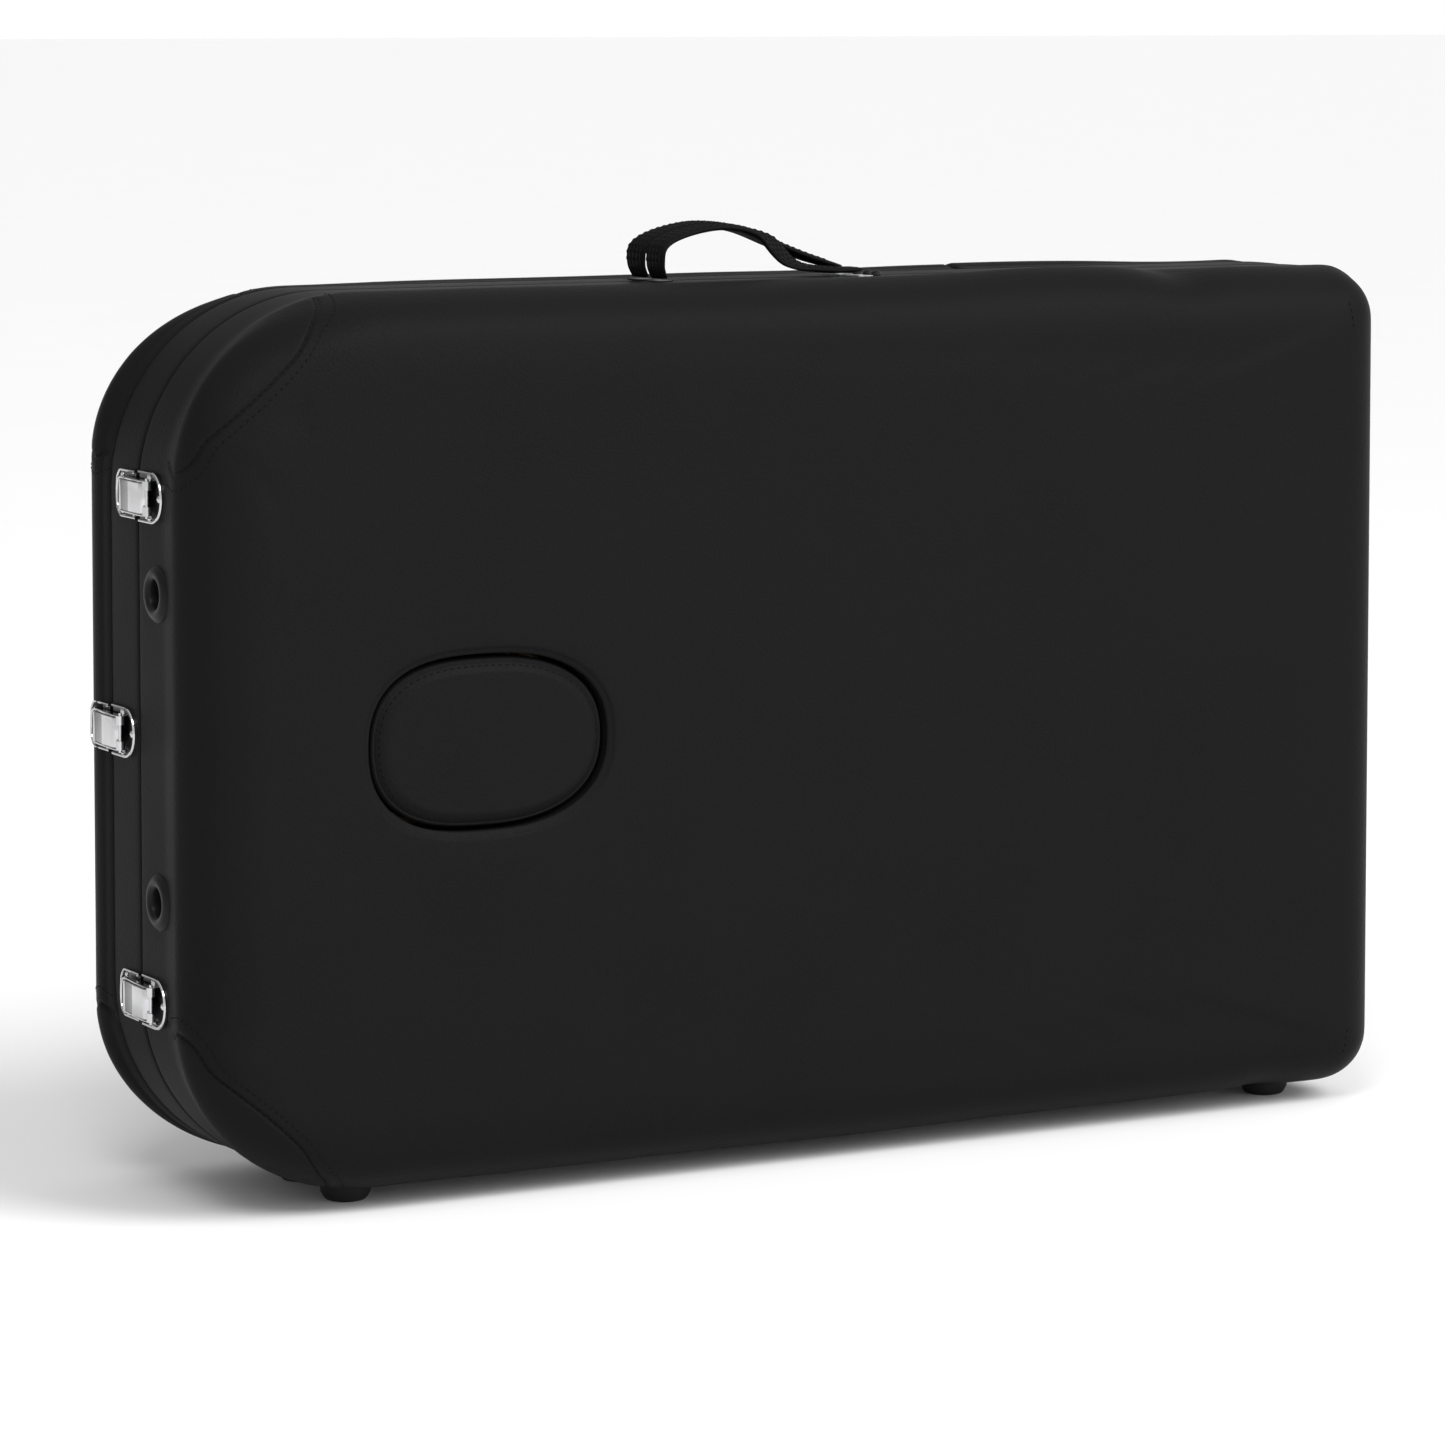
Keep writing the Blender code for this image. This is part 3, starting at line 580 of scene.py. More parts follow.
def inflate(piece, held, puff):
    """Lets the stuffing swell the cover, most where a short cloth simulation lifts it."""
    before = vectors(piece.data)
    group = piece.vertex_groups.new(name="held")
    rounded = np.round(held, 2)
    for hold in np.unique(rounded):
        group.add(np.nonzero(rounded == hold)[0].tolist(), float(hold), "REPLACE")
    cloth = piece.modifiers.new("stuffing", "CLOTH")
    for name, value in CLOTH_SETTINGS.items():
        setattr(cloth.settings, name, value)
    cloth.settings.effector_weights.gravity = 0
    cloth.point_cache.frame_start = 1
    cloth.point_cache.frame_end = CLOTH_FRAMES
    scene = bpy.context.scene
    for step in range(1, CLOTH_FRAMES + 1):
        scene.frame_set(step)
    shown = piece.evaluated_get(bpy.context.evaluated_depsgraph_get())
    after = vectors(shown.to_mesh())
    shown.to_mesh_clear()
    piece.modifiers.remove(cloth)
    piece.vertex_groups.clear()
    scene.frame_set(1)
    normals = vectors(piece.data, "normal")
    lift = ((after - before) * normals).sum(1)
    capped = puff * (0.90 + 0.25 * np.tanh(lift / puff)) * (1 - held)
    move_to(piece.data, before + normals * capped[:, None])


def stuff(piece, held, puff):
    """Swells a cover up to a limit; held is each point's hold on the frame, from 0 to 1."""
    inflate(piece, held, puff)


# Waves of the foam along the top and the bottom of each half, as (x, width, height) in metres
TOP_WAVES = {
    "front": (
        (-0.400, 0.080, -0.0030), (-0.150, 0.200, -0.0012), (0.205, 0.075, 0.0040),
        (0.302, 0.026, -0.0046), (0.430, 0.040, -0.0020),
    ),
    "back": (
        (-0.360, 0.090, -0.0036), (-0.120, 0.200, -0.0020), (0.080, 0.060, -0.0012),
        (0.400, 0.080, -0.0042),
    ),
}
BOTTOM_WAVES = {
    "front": ((-0.300, 0.060, -0.0010), (0.040, 0.080, 0.0012), (0.375, 0.020, -0.0026)),
    "back": ((-0.250, 0.080, -0.0010), (0.300, 0.060, 0.0010)),
}


WAVE_DEPTH = 0.060


def eased(share):
    """A share from 0 to 1, with a soft start and a soft end."""
    share = np.clip(share, 0, 1)
    return share * share * (3 - 2 * share)


def settle(piece, half):
    """Adds the slack of the cover along the top and bottom of a half."""
    co = vectors(piece.data)
    high = np.clip((co[:, 2] - (TOP - WAVE_DEPTH)) / WAVE_DEPTH, 0, 1) ** 2
    low = np.clip(((BOTTOM + WAVE_DEPTH) - co[:, 2]) / WAVE_DEPTH, 0, 1) ** 2
    foam = eased((np.abs(co[:, 1]) - BACK_FOAM - 0.001) / 0.010)
    for waves, weight, up in ((TOP_WAVES, high, 1), (BOTTOM_WAVES, low, -1)):
        for x, width, height in waves[half]:
            wave = height * np.exp(-(((co[:, 0] - x) / width) ** 2))
            co[:, 2] += up * wave * weight * foam
    # The ends of the two halves press flat against each other when the table is open
    away = np.abs(co[:, 2] - MIDDLE) / (TOP - MIDDLE)
    co[:, 0] = np.minimum(co[:, 0], HINGE_END - 0.0002 - 0.0030 * away**3 * foam)
    move_to(piece.data, co)


def hem_shift(rings, side):
    """Pulls the hem back along the middle of the hinge end, where the fold hinge comes out."""
    low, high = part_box("fold_hinge_front_leaf")
    inside = (rings[..., 0] > HINGE_END - 0.004) & (rings[..., 2] > low.z - 0.010)
    inside &= rings[..., 2] < high.z + 0.010
    y = np.abs(rings[..., 1])
    pulled = np.where(y < 0.012, 0.0052 + (y - 0.001) * (0.0068 / 0.011), y)
    rings[..., 1] = np.where(inside, side * pulled, rings[..., 1])
    return rings


def egg_radius(angles, grow=0.0):
    """Distance from the middle of the face hole to its edge, at each angle."""
    low, high = HOLE_LOW, HOLE_HIGH
    half_x, half_z = (high.x - low.x) / 2 + grow, (high.z - low.z) / 2 + grow
    t = np.linspace(0, 2 * pi, 721)
    power = np.where(np.cos(t) > 0, 2.35, 2.9)
    x = half_x * np.abs(np.cos(t)) ** (2 / power) * np.sign(np.cos(t))
    z = half_z * np.abs(np.sin(t)) ** (2 / 2.35) * np.sign(np.sin(t))
    turn = np.unwrap(np.arctan2(z, x))
    return np.interp(np.mod(angles, 2 * pi), turn - turn[0], np.hypot(x, z))


def egg_ring(angles, grow):
    radius = egg_radius(angles, grow)
    middle = (HOLE_LOW.x + HOLE_HIGH.x) / 2
    return np.column_stack([middle + radius * np.cos(angles), MIDDLE + radius * np.sin(angles)])


# Insets and distances from the joint of a half's side, from above its hem to near its groove
APRON = ((0.0002, 0.0012), (-0.0002, 0.0040), (-0.0003, 0.012), (-0.0004, 0.024), (-0.0004, 0.036))
# Gap between the face hole's edge and its plug, and the rounding of that edge
HOLE_GAP, HOLE_RIM = 0.0052, 0.0030


def apron_sides(case):
    """(inset, y) up the apron from the joint of the halves."""
    hem = [(0.0011, case.hem), (APRON[0][0], case.hem + APRON[0][1])]
    return hem + list(APRON[1:])


def front_cover(case):
    """One closed cover: up the apron, over the foam, down the face hole, back under the foam."""
    face = FACE - case.puff * FACE_SHARE
    sides = apron_sides(case) + [(-0.0004, 0.046), (-0.0006, 0.053)]
    stations = sides + shoulder_stations(case, face)
    outer = [case_ring(case, i, y, softness(y), -1) for i, y in stations]
    last = outer[-1][:, [0, 2]]
    middle = np.array([(HOLE_LOW.x + HOLE_HIGH.x) / 2, MIDDLE])
    angles = np.arctan2(last[:, 1] - middle[1], last[:, 0] - middle[0])
    edge = egg_ring(angles, HOLE_GAP + HOLE_RIM + 0.004)
    outer += [level(last * (1 - s) + edge * s, -face) for s in np.linspace(0, 1, 24)[1:]]
    seam = ((0.0024, 0.0), (0.0014, -0.0006), (0.0004, 0.0))
    lip = [(HOLE_GAP + HOLE_RIM + grow, face + dip) for grow, dip in seam]
    for a in np.linspace(0, pi / 2, 6):
        lip.append((HOLE_GAP + HOLE_RIM * (1 - sin(a)), face - HOLE_RIM * (1 - cos(a))))
    wall = np.linspace(face - HOLE_RIM - 0.006, FRONT_FOAM + 0.0005, 6)
    outer += [level(egg_ring(angles, grow), -y) for grow, y in lip + [(HOLE_GAP, y) for y in wall]]
    floor_outer = case_ring(case, case.leather + 0.0001, 0)[:, [0, 2]]
    floor_inner = egg_ring(angles, HOLE_GAP)
    under = [
        level(floor_inner * (1 - s) + floor_outer * s, -(FRONT_FOAM + 0.0002))
        for s in np.linspace(0, 1, 8)[1:]
    ]
    under += [level(floor_outer, -y) for y in (0.040, 0.020, case.hem + 0.0004)]
    rings = hem_shift(np.array(outer + under), -1)
    held = np.ones(len(rings))
    held[len(sides) - 1 : len(sides) + 1] = 0.6
    held[len(sides) + 1 : len(outer) - 12] = 0.0
    held[len(outer) - 12 : len(outer) - 8] = 0.5
    return rings, np.repeat(held, rings.shape[1])


def apron_cover(case, edge):
    """The closed leather band round the frame of the back half."""
    t = case.leather + 0.0001
    stations = apron_sides(case) + [(0.0, edge - 0.0040), (0.0006, edge - 0.0014)]
    stations += [(0.0012, edge), (t, edge - 0.0004), (t, 0.030), (t, case.hem + 0.0004)]
    return hem_shift(np.array([case_ring(case, i, y) for i, y in stations]), 1)


def slab_cover(case, x0, x1, rounds, lip, tight):
    """A closed cover round a slab of foam, its lip pulled down over the board's edge.

    tight is the share of the shoulder left out at the start and at the end of the slab.
    """
    sides = [(0.0013, lip), (0.0005, lip + 0.0016), (-0.0003, lip + 0.0042)]
    sides += [(-0.0008, BACK_FOAM + 0.004)]
    base = panel_ring(case.leather + 0.0003, x0, x1, *rounds)
    rings = [level(base, BACK_FOAM + 0.0002), level(base, lip + 0.0004)]
    for i, y in sides + shoulder_stations(case, FACE - case.puff * FACE_SHARE):
        start, end = x0 - tight[0] * max(i, 0), x1 + tight[1] * max(i, 0)
        rings.append(level(panel_ring(i, start, end, *rounds, softness(y)), y))
    return rings


# Distance from the joint of the halves where the seams of the patches run under the hem
SEAM_END = 0.047
# Seam of a corner patch, from the corner of the case: distance along, distance down or up
PATCH_SEAM = (
    (0.118, -0.0200), (0.1030, 0.0000), (0.0845, 0.0175), (0.0695, 0.0360), (0.0455, 0.0585),
    (0.0260, 0.0750), (0.0095, 0.0905), (0.0000, 0.1085), (-0.0200, 0.1330),
)
# Reach of a seam's groove on each side, and the height of the patch over the cover beside it
SEAM_REACH = 0.006
PATCH_LAP = 0.0002


def patch_distance(co, upper):
    """Distance of each point from the patch's seam, seen from the face; positive in the patch."""
    down = TOP - co[:, 2] if upper else co[:, 2] - BOTTOM
    point = np.column_stack([co[:, 0] - LATCH_END, down])
    path = smooth_path(PATCH_SEAM, 60)
    best, sign = np.full(len(point), 9.0), np.ones(len(point))
    for a, b in zip(path[:-1], path[1:]):
        way = b - a
        s = np.clip(((point - a) @ way) / (way @ way), 0, 1)
        apart = point - (a + s[:, None] * way)
        far = np.linalg.norm(apart, axis=1)
        closer = far < best
        best = np.where(closer, far, best)
        sign = np.where(closer, np.sign(way[0] * apart[:, 1] - way[1] * apart[:, 0]), sign)
    return best * sign


def outward(co, normals, side):
    """True where a surface looks out of the case."""
    middle = np.array([(LATCH_END + HINGE_END) / 2, 0, MIDDLE])
    half = np.array([(HINGE_END - LATCH_END) / 2, 1, (TOP - BOTTOM) / 2])
    out = (co - middle) / half
    out[:, 1] = 0
    out /= np.maximum(np.linalg.norm(out, axis=1, keepdims=True), 1e-9)
    out[:, 1] = side * 0.5
    return (normals * out).sum(1) > 0.05


def engrave(piece, side, distance, depth):
    """Cuts a seam's groove into a cover and raises the patch beside it."""
    bm = bmesh.new()
    bm.from_mesh(piece.data)
    near = np.abs(distance(vectors(piece.data))) < SEAM_REACH
    edges = {e for f in bm.faces if any(near[v.index] for v in f.verts) for e in f.edges}
    bmesh.ops.subdivide_edges(bm, edges=list(edges), cuts=4, use_grid_fill=True)
    bm.normal_update()
    bm.verts.ensure_lookup_table()
    co = np.array([v.co for v in bm.verts])
    normals = np.array([v.normal for v in bm.verts])
    apart = distance(co)
    shift = PATCH_LAP * eased(apart / 0.0025) * (apart < 0.15)
    shift -= depth * np.exp(-((apart / 0.0011) ** 2))
    shift = np.where(outward(co, normals, side), shift, 0)
    shift *= np.clip((np.abs(co[:, 1]) - SEAM_END) / 0.008, 0, 1)
    for vert, place in zip(bm.verts, co + normals * shift[:, None]):
        vert.co = place
    bm.to_mesh(piece.data)
    bm.free()
    piece.data.shade_smooth()


def face_numbers(mesh, field):
    made = np.zeros(len(mesh.polygons), np.int32)
    mesh.polygons.foreach_get(field, made)
    return made


def contour(mesh, values, wanted):
    """The longest line through a mesh where the values pass a level, inside wanted faces."""
    co = vectors(mesh)
    sign = values < 0
    corners = np.zeros(len(mesh.loops), np.int32)
    mesh.loops.foreach_get("vertex_index", corners)
    below = np.add.reduceat(sign[corners], face_numbers(mesh, "loop_start"), dtype=np.int32)
    crossed = wanted & (below > 0) & (below < face_numbers(mesh, "loop_total"))
    points, joined = {}, {}
    for number in np.nonzero(crossed)[0].tolist():
        keys = [key for key in mesh.polygons[number].edge_keys if sign[key[0]] != sign[key[1]]]
        if len(keys) != 2:
            continue
        for key, other in (keys, keys[::-1]):
            a, b = key
            points[key] = co[a] + (co[b] - co[a]) * values[a] / (values[a] - values[b])
            joined.setdefault(key, []).append(other)
    best = []
    tips = [key for key, others in joined.items() if len(others) == 1]
    for key in tips + list(joined):
        path = []
        while key in joined:
            path.append(points[key])
            key = next((other for other in joined.pop(key) if other in joined), None)
        best = max(best, path, key=len)
    return np.array(best)


# Place along a stitch, as a share of its length, and its thickness there, as a share of the most
STITCH_SHAPE = ((-0.5, 0.35), (-0.36, 0.85), (0.0, 1.0), (0.36, 0.85), (0.5, 0.35))
STITCH_SIDES = 6


def sew(name, rows, surface, body, share=1.0):
    """Adds thread stitches along rows of points on a mesh; share is each one's length."""
    settings = bpy.context.scene.massage_table_stitches
    tree = BVHTree.FromPolygons(
        [v.co for v in surface.vertices], [p.vertices for p in surface.polygons]
    )
    turn = np.linspace(0, 2 * pi, STITCH_SIDES, endpoint=False)
    quads = ring_faces(len(STITCH_SHAPE), STITCH_SIDES, False)
    start_cap = tuple(range(STITCH_SIDES))
    end_cap = tuple(k + (len(STITCH_SHAPE) - 1) * STITCH_SIDES for k in start_cap[::-1])
    points, faces = [], []
    for row in rows:
        long = float(np.linalg.norm(np.diff(row, axis=0), axis=1).sum())
        path = even(row, max(4, 2 * int(long / settings.pitch)))
        for i in range(1, len(path) - 1, 2):
            place, normal, _, _ = tree.find_nearest(Vector(path[i]))
            along = Vector(path[i + 1] - path[i - 1])
            along = (along - along.dot(normal) * normal).normalized()
            across = normal.cross(along)
            centre = place + normal * settings.thread * 0.1
            first = len(points)
            for s, r in STITCH_SHAPE:
                radius = settings.thread / 2 * r
                sag = -settings.thread * 0.9 * (2 * s) ** 4
                middle = centre + along * s * settings.stitch * share + normal * sag
                for angle in turn:
                    points.append(middle + radius * (across * cos(angle) + normal * sin(angle)))
            faces += [tuple(first + k for k in face) for face in (*quads, start_cap, end_cap)]
    mesh = shell(name, [tuple(p) for p in points], faces)
    add_piece(name, mesh, "black_thread", body)


def patch_seams(piece, side, body, name):
    """Engraves both corner patches of a cover and sews them with two rows of thread."""
    stitches = bpy.context.scene.massage_table_stitches
    ends = (True, False)
    for upper in ends:
        engrave(piece, side, lambda co, up=upper: patch_distance(co, up), stitches.groove)
    mesh = piece.data
    co = vectors(mesh)
    centres = np.array([p.center for p in mesh.polygons])
    normals = np.array([p.normal for p in mesh.polygons])
    shown = outward(centres, normals, side) & (np.abs(centres[:, 1]) > SEAM_END + 0.002)
    # The seam itself is drawn tight, so that its stitches touch
    for part, offset, share in (("seam", 0.0, 1.5), ("stitching", -stitches.row_gap, 0.9)):
        rows = [contour(mesh, patch_distance(co, up) - offset, shown) for up in ends]
        sew(f"{name}_{part}", rows, mesh, body, share)


# A short stitched tuck by each corner of the hinge end: X, distance from the top or the bottom
TUCK = ((0.4335, 0.0200), (0.4345, 0.0270), (0.4350, 0.0350), (0.4365, 0.0450))


def sew_tucks(piece, side, body, name):
    """Sews the two tucks that take in the cover's corners at the fold hinge."""
    rows = []
    for edge, way in ((TOP, -1), (BOTTOM, 1)):
        rows.append(smooth_path([(x, side * FACE, edge + way * z) for x, z in TUCK], 30))
    sew(f"{name}_tucks", rows, piece.data, body)


def smooth_once(piece):
    modifier = piece.modifiers.new("smooth", "SUBSURF")
    modifier.levels = 1
    modifier.render_levels = 1
    apply_modifiers(piece)


SOCKETS = ("lower", "upper")
PORT_RADIUS = 0.0124


def at_socket(name):
    """The place of a headrest socket, on the case's end."""
    low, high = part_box(f"port_socket_{name}")
    middle = (low + high) / 2
    return Matrix.Translation((LATCH_END, middle.y, middle.z))


class MASSAGE_OT_front_cover(Operator):
    """Upholsters the front half in one piece, with its face hole and corner patches"""

    bl_idname = "massage_table.front_cover"
    bl_label = "Front cover"

    def execute(self, context):
        case = context.scene.massage_table_case
        rings, held = front_cover(case)
        name, body = "front_cover", "front_half"
        mesh = loft(name, rings, closed=True)
        stands_for = ("front_cushion", "front_skirt")
        piece = add_piece(name, mesh, "black_leatherette", body, stands_for)
        stuff(piece, held, case.puff)
        settle(piece, "front")
        smooth_once(piece)
        self.cut_ports(piece)
        patch_seams(piece, -1, body, name)
        sew_tucks(piece, -1, body, name)
        return {"FINISHED"}

    def cut_ports(self, piece):
        """Opens the apron for the tubes of the two headrest sockets."""
        for name in SOCKETS:
            bm = bmesh.new()
            place = at_socket(name) @ Matrix.Rotation(pi / 2, 4, "Y")
            bmesh.ops.create_cone(
                bm, cap_ends=True, segments=32, radius1=PORT_RADIUS, radius2=PORT_RADIUS,
                depth=0.03, matrix=place,
            )
            cutter_mesh = bm_mesh("port_cutter", bm)
            cutter = bpy.data.objects.new("port_cutter", cutter_mesh)
            bpy.context.scene.collection.objects.link(cutter)
            cut = piece.modifiers.new("port", "BOOLEAN")
            cut.operation = "DIFFERENCE"
            cut.solver = "EXACT"
            cut.object = cutter
            apply_modifiers(piece)
            bpy.data.objects.remove(cutter)
            bpy.data.meshes.remove(cutter_mesh)


class MASSAGE_OT_back_covers(Operator):
    """Upholsters the back frame's apron, the backrest and the fixed seat"""

    bl_idname = "massage_table.back_covers"
    bl_label = "Back covers"

    def execute(self, context):
        case = context.scene.massage_table_case
        mesh = loft("back_apron", apron_cover(case, BACK_EDGE), closed=True)
        leather = "black_leatherette"
        smooth_once(add_piece("back_apron", mesh, leather, "back_half", ("back_skirt",)))
        small, lip, most = 0.004, BACK_EDGE + 0.0003, 0.85
        panels = (
            ("backrest", LATCH_END, BACKREST_END, (case.latch_round, small), (0, most)),
            ("seat", SEAT_START, HINGE_END, (small, case.hinge_round), (most, 0)),
        )
        for part, x0, x1, rounds, tight in panels:
            name = f"{part}_cover"
            body = "backrest" if part == "backrest" else "back_half"
            mesh = filled_loft(name, slab_cover(case, x0, x1, rounds, lip, tight), PANEL_CORNERS)
            held = 1.0 * (vectors(mesh)[:, 1] < BACK_FOAM + 0.0045)
            piece = add_piece(name, mesh, leather, body, (f"{part}_cushion",))
            stuff(piece, held, case.puff)
            settle(piece, "back")
            smooth_once(piece)
            if part == "backrest":
                patch_seams(piece, 1, body, name)
            else:
                sew_tucks(piece, 1, body, name)
        return {"FINISHED"}


class MASSAGE_OT_face_plug(Operator):
    """Makes the stuffed plug of the face hole, with its sewn shoulder"""

    bl_idname = "massage_table.face_plug"
    bl_label = "Face plug"

    def execute(self, context):
        angles = np.linspace(0, 2 * pi, 128, endpoint=False)
        base, face = -HOLE_HIGH.y, -HOLE_LOW.y - 0.0012
        stations = [(0.0010, base + 0.0002), (0.0, base + 0.002), (-0.0010, base + 0.014)]
        shoulder = (
            (-0.0024, 0.0160), (-0.0026, 0.0090), (-0.0024, 0.0055), (-0.0016, 0.0034),
            (-0.0004, 0.0021), (0.0004, 0.0030), (0.0012, 0.0016), (0.0030, 0.0006), (0.0070, 0),
        )
        stations += [(inset, face - drop) for inset, drop in shoulder]
        rings = [level(egg_ring(angles, -inset), -y) for inset, y in stations]
        name, body = "face_plug_cover", "face_plug"
        mesh = filled_loft(name, rings, PLUG_CORNERS)
        held = 1.0 * (-vectors(mesh)[:, 1] < face - 0.0003)
        piece = add_piece(name, mesh, "black_leatherette", body, ("face_plug_cushion",))
        stuff(piece, held, PLUG_PUFF)
        smooth_once(piece)
        row = level(egg_ring(angles, -0.0030), -face)
        sew("face_plug_stitching", [np.vstack([row, row[:1]])], piece.data, body)
        return {"FINISHED"}


# ------------------------------------------------------------- hardware


class MASSAGE_OT_port_sockets(Operator):
    """Turns the two domed plastic sockets for the headrest"""

    bl_idname = "massage_table.port_sockets"
    bl_label = "Headrest sockets"

    def execute(self, context):
        flange, tube, bore, depth = 0.0190, 0.0115, 0.0092, 0.030
        dome = (
            (0, 0.0012), (0.0008, 0.0026), (0.0022, 0.0037), (0.0040, 0.0041), (0.0060, 0.0037),
            (0.0078, 0.0026),
        )
        profile = [(bore, -depth), (bore, -0.004)] + [(bore + out, up) for out, up in dome]
        profile += [(flange - 0.0006, 0.0014), (flange, 0.0008), (flange, 0.0006)]
        profile += [(tube, 0.0006), (tube, -depth + 0.001), (tube - 0.0006, -depth)]
        for end in SOCKETS:
            name = f"headrest_socket_{end}"
            mesh = turned(name, profile, at_socket(end) @ Matrix.Rotation(-pi / 2, 4, "Y"))
            add_piece(name, mesh, "moulded_plastic", "front_half", (f"port_socket_{end}",))
        return {"FINISHED"}


def circle(centre, side, up, radius, steps):
    return [
        centre + radius * (side * cos(a) + up * sin(a))
        for a in np.linspace(0, 2 * pi, steps, endpoint=False)
    ]


def join(bm, rings):
    """Adds quads between successive rings of new vertices; gives the vertices."""
    rings = [[bm.verts.new(p) for p in ring] for ring in rings]
    for a, b in zip(rings, rings[1:]):
        for i in range(len(a)):
            j = (i + 1) % len(a)
            bm.faces.new((a[i], a[j], b[j], b[i]))
    bm.faces.new(rings[0][::-1])
    return rings


def bead(bm, path, radius, sides=8):
    """A round bar along a path, added to bm, with closed ends."""
    path = [Vector(p) for p in path]
    rings = []
    for i, p in enumerate(path):
        along = (path[min(i + 1, len(path) - 1)] - path[max(i - 1, 0)]).normalized()
        side = along.cross(Vector((1, 0, 0)))
        side = side.normalized() if side.length > 1e-6 else Vector((0, 1, 0))
        rings.append(circle(p, side, side.cross(along), radius, sides))
    bm.faces.new(join(bm, rings)[-1])


def prism(bm, outline, way):
    """A flat outline of points in space, extruded along a vector, added to bm."""
    flat = bm.faces.new([bm.verts.new(p) for p in outline])
    grown = bmesh.ops.extrude_face_region(bm, geom=[flat])["geom"]
    verts = [g for g in grown if isinstance(g, bmesh.types.BMVert)]
    bmesh.ops.translate(bm, verts=verts, vec=way)


def screw_head(bm, y, z, radius, height):
    """A domed cross-head screw that looks out along -X, added to bm."""
    y_way, z_way = Vector((0, 1, 0)), Vector((0, 0, 1))
    rings = [
        circle(Vector((-SCREW_BASE - height * h, y, z)), y_way, z_way, radius * r, 16)
        for r, h in ((1.0, 0.0), (1.0, 0.25), (0.86, 0.62), (0.6, 0.88), (0.3, 1.0))
    ]
    top = join(bm, rings)[-1]
    hub = bm.verts.new((-SCREW_BASE - height * 0.8, y, z))
    for a, b in zip(top, top[1:] + top[:1]):
        bm.faces.new((a, b, hub))


def arc_points(y, z, radius, start, stop, steps):
    turn = np.linspace(start, stop, steps + 1)
    return [(y + radius * cos(a), z + radius * sin(a)) for a in turn]


def at_x(x, outline):
    return [(x, y, z) for y, z in outline]


# Height of the plates' skin over the leather, their thickness, where the screws sit, and how far
# the rolled rims lie inside the edges and over the leather
PLATE_SKIN, PLATE_THICK, SCREW_BASE, RIM_INSET, RIM_HEIGHT = 0.0003, 0.0010, 0.0011, 0.0007, 0.0019
# Place of the lever's pin on its plate
PIN_X, PIN_Y = -0.0055, -0.0240


def plate(outline, rim_radius):
    """A flat plate with a rolled rim; outline gives its edge at an inset. Its flat faces are
    painted near-black chrome, a painted dark reflection.
    """
    bm = bmesh.new()
    prism(bm, at_x(-PLATE_SKIN, outline(0)), (-PLATE_THICK, 0, 0))
    # Painted dark reflection: the plate's flat faces take the near-black copy of the chrome
    paint_shade(bm, 2, lambda middle: True)
    bead(bm, at_x(-RIM_HEIGHT, outline(RIM_INSET)), rim_radius)
    return bm


def paint_shade(bm, number, inside):
    """Gives a darker chrome finish's number, painted shade, to the flat outer faces whose middle is
    inside.
    """
    bm.normal_update()
    for face in bm.faces:
        middle = face.calc_center_median()
        if abs(face.normal.x) > 0.8 and inside(middle):
            face.material_index = number


def latch_base_mesh():
    """D-shaped plate with a rolled rim, three screws and the lever's pin."""

    def outline(inset, round_y=-0.0232, flat_y=-0.0020):
        half = 0.0168 - inset
        arc = arc_points(round_y, 0, half, pi / 2, 3 * pi / 2, 20)
        return [(flat_y, half)] + arc + [(flat_y, -half)]

    bm = plate(outline, 0.0010)
    for y, z in ((-0.0185, 0.0134), (-0.0185, -0.0134), (-0.0345, 0.0)):
        screw_head(bm, y, z, 0.0026, 0.0016)
    for z in (-0.0132, 0.0118):
        ear = [(x, y, z) for y, x in arc_points(PIN_Y, PIN_X, 0.0032, 0, pi, 8)]
        prism(bm, ear + [(-0.0010, -0.0272, z), (-0.0010, -0.0208, z)], (0, 0, 0.0014))
    bead(bm, [(PIN_X, PIN_Y, -0.0132), (PIN_X, PIN_Y, 0.0132)], 0.0012, 12)
    return bm_mesh("latch_base", bm, 35)


# The lever's section, as (y, height): its facets from the pin to the nose, then its underside
LEVER_SECTION = (
    (-0.0225, 0.0052), (-0.0208, 0.0085), (-0.0185, 0.0094), (-0.0010, 0.0096), (0.0004, 0.0084),
    (0.0148, 0.0076), (0.0158, 0.0083), (0.0176, 0.0083), (0.0188, 0.0072), (0.0220, 0.0060),
    (0.0245, 0.0050), (0.0258, 0.0042), (0.0250, 0.0036), (0.0120, 0.0040), (-0.0050, 0.0040),
    (-0.0205, 0.0042),
)
LEVER_SIDE = (
    (-0.0215, 0.0042), (-0.0215, 0.0070), (-0.0150, 0.0078), (0.0060, 0.0068), (0.0200, 0.0058),
    (0.0252, 0.0044), (0.0250, 0.0036),
)
LEVER_RAIL = ((-0.0215, 0.0072), (-0.0150, 0.0080), (0.0060, 0.0070), (0.0190, 0.0061))
LEVER_NOSE = (
    (0.0190, 0.0110), (0.0235, 0.0100), (0.0262, 0.0065), (0.0268, 0.0), (0.0262, -0.0065),
    (0.0235, -0.0100), (0.0190, -0.0110),
)


def at_z(z, section):
    return [(-x, y, z) for y, x in section]


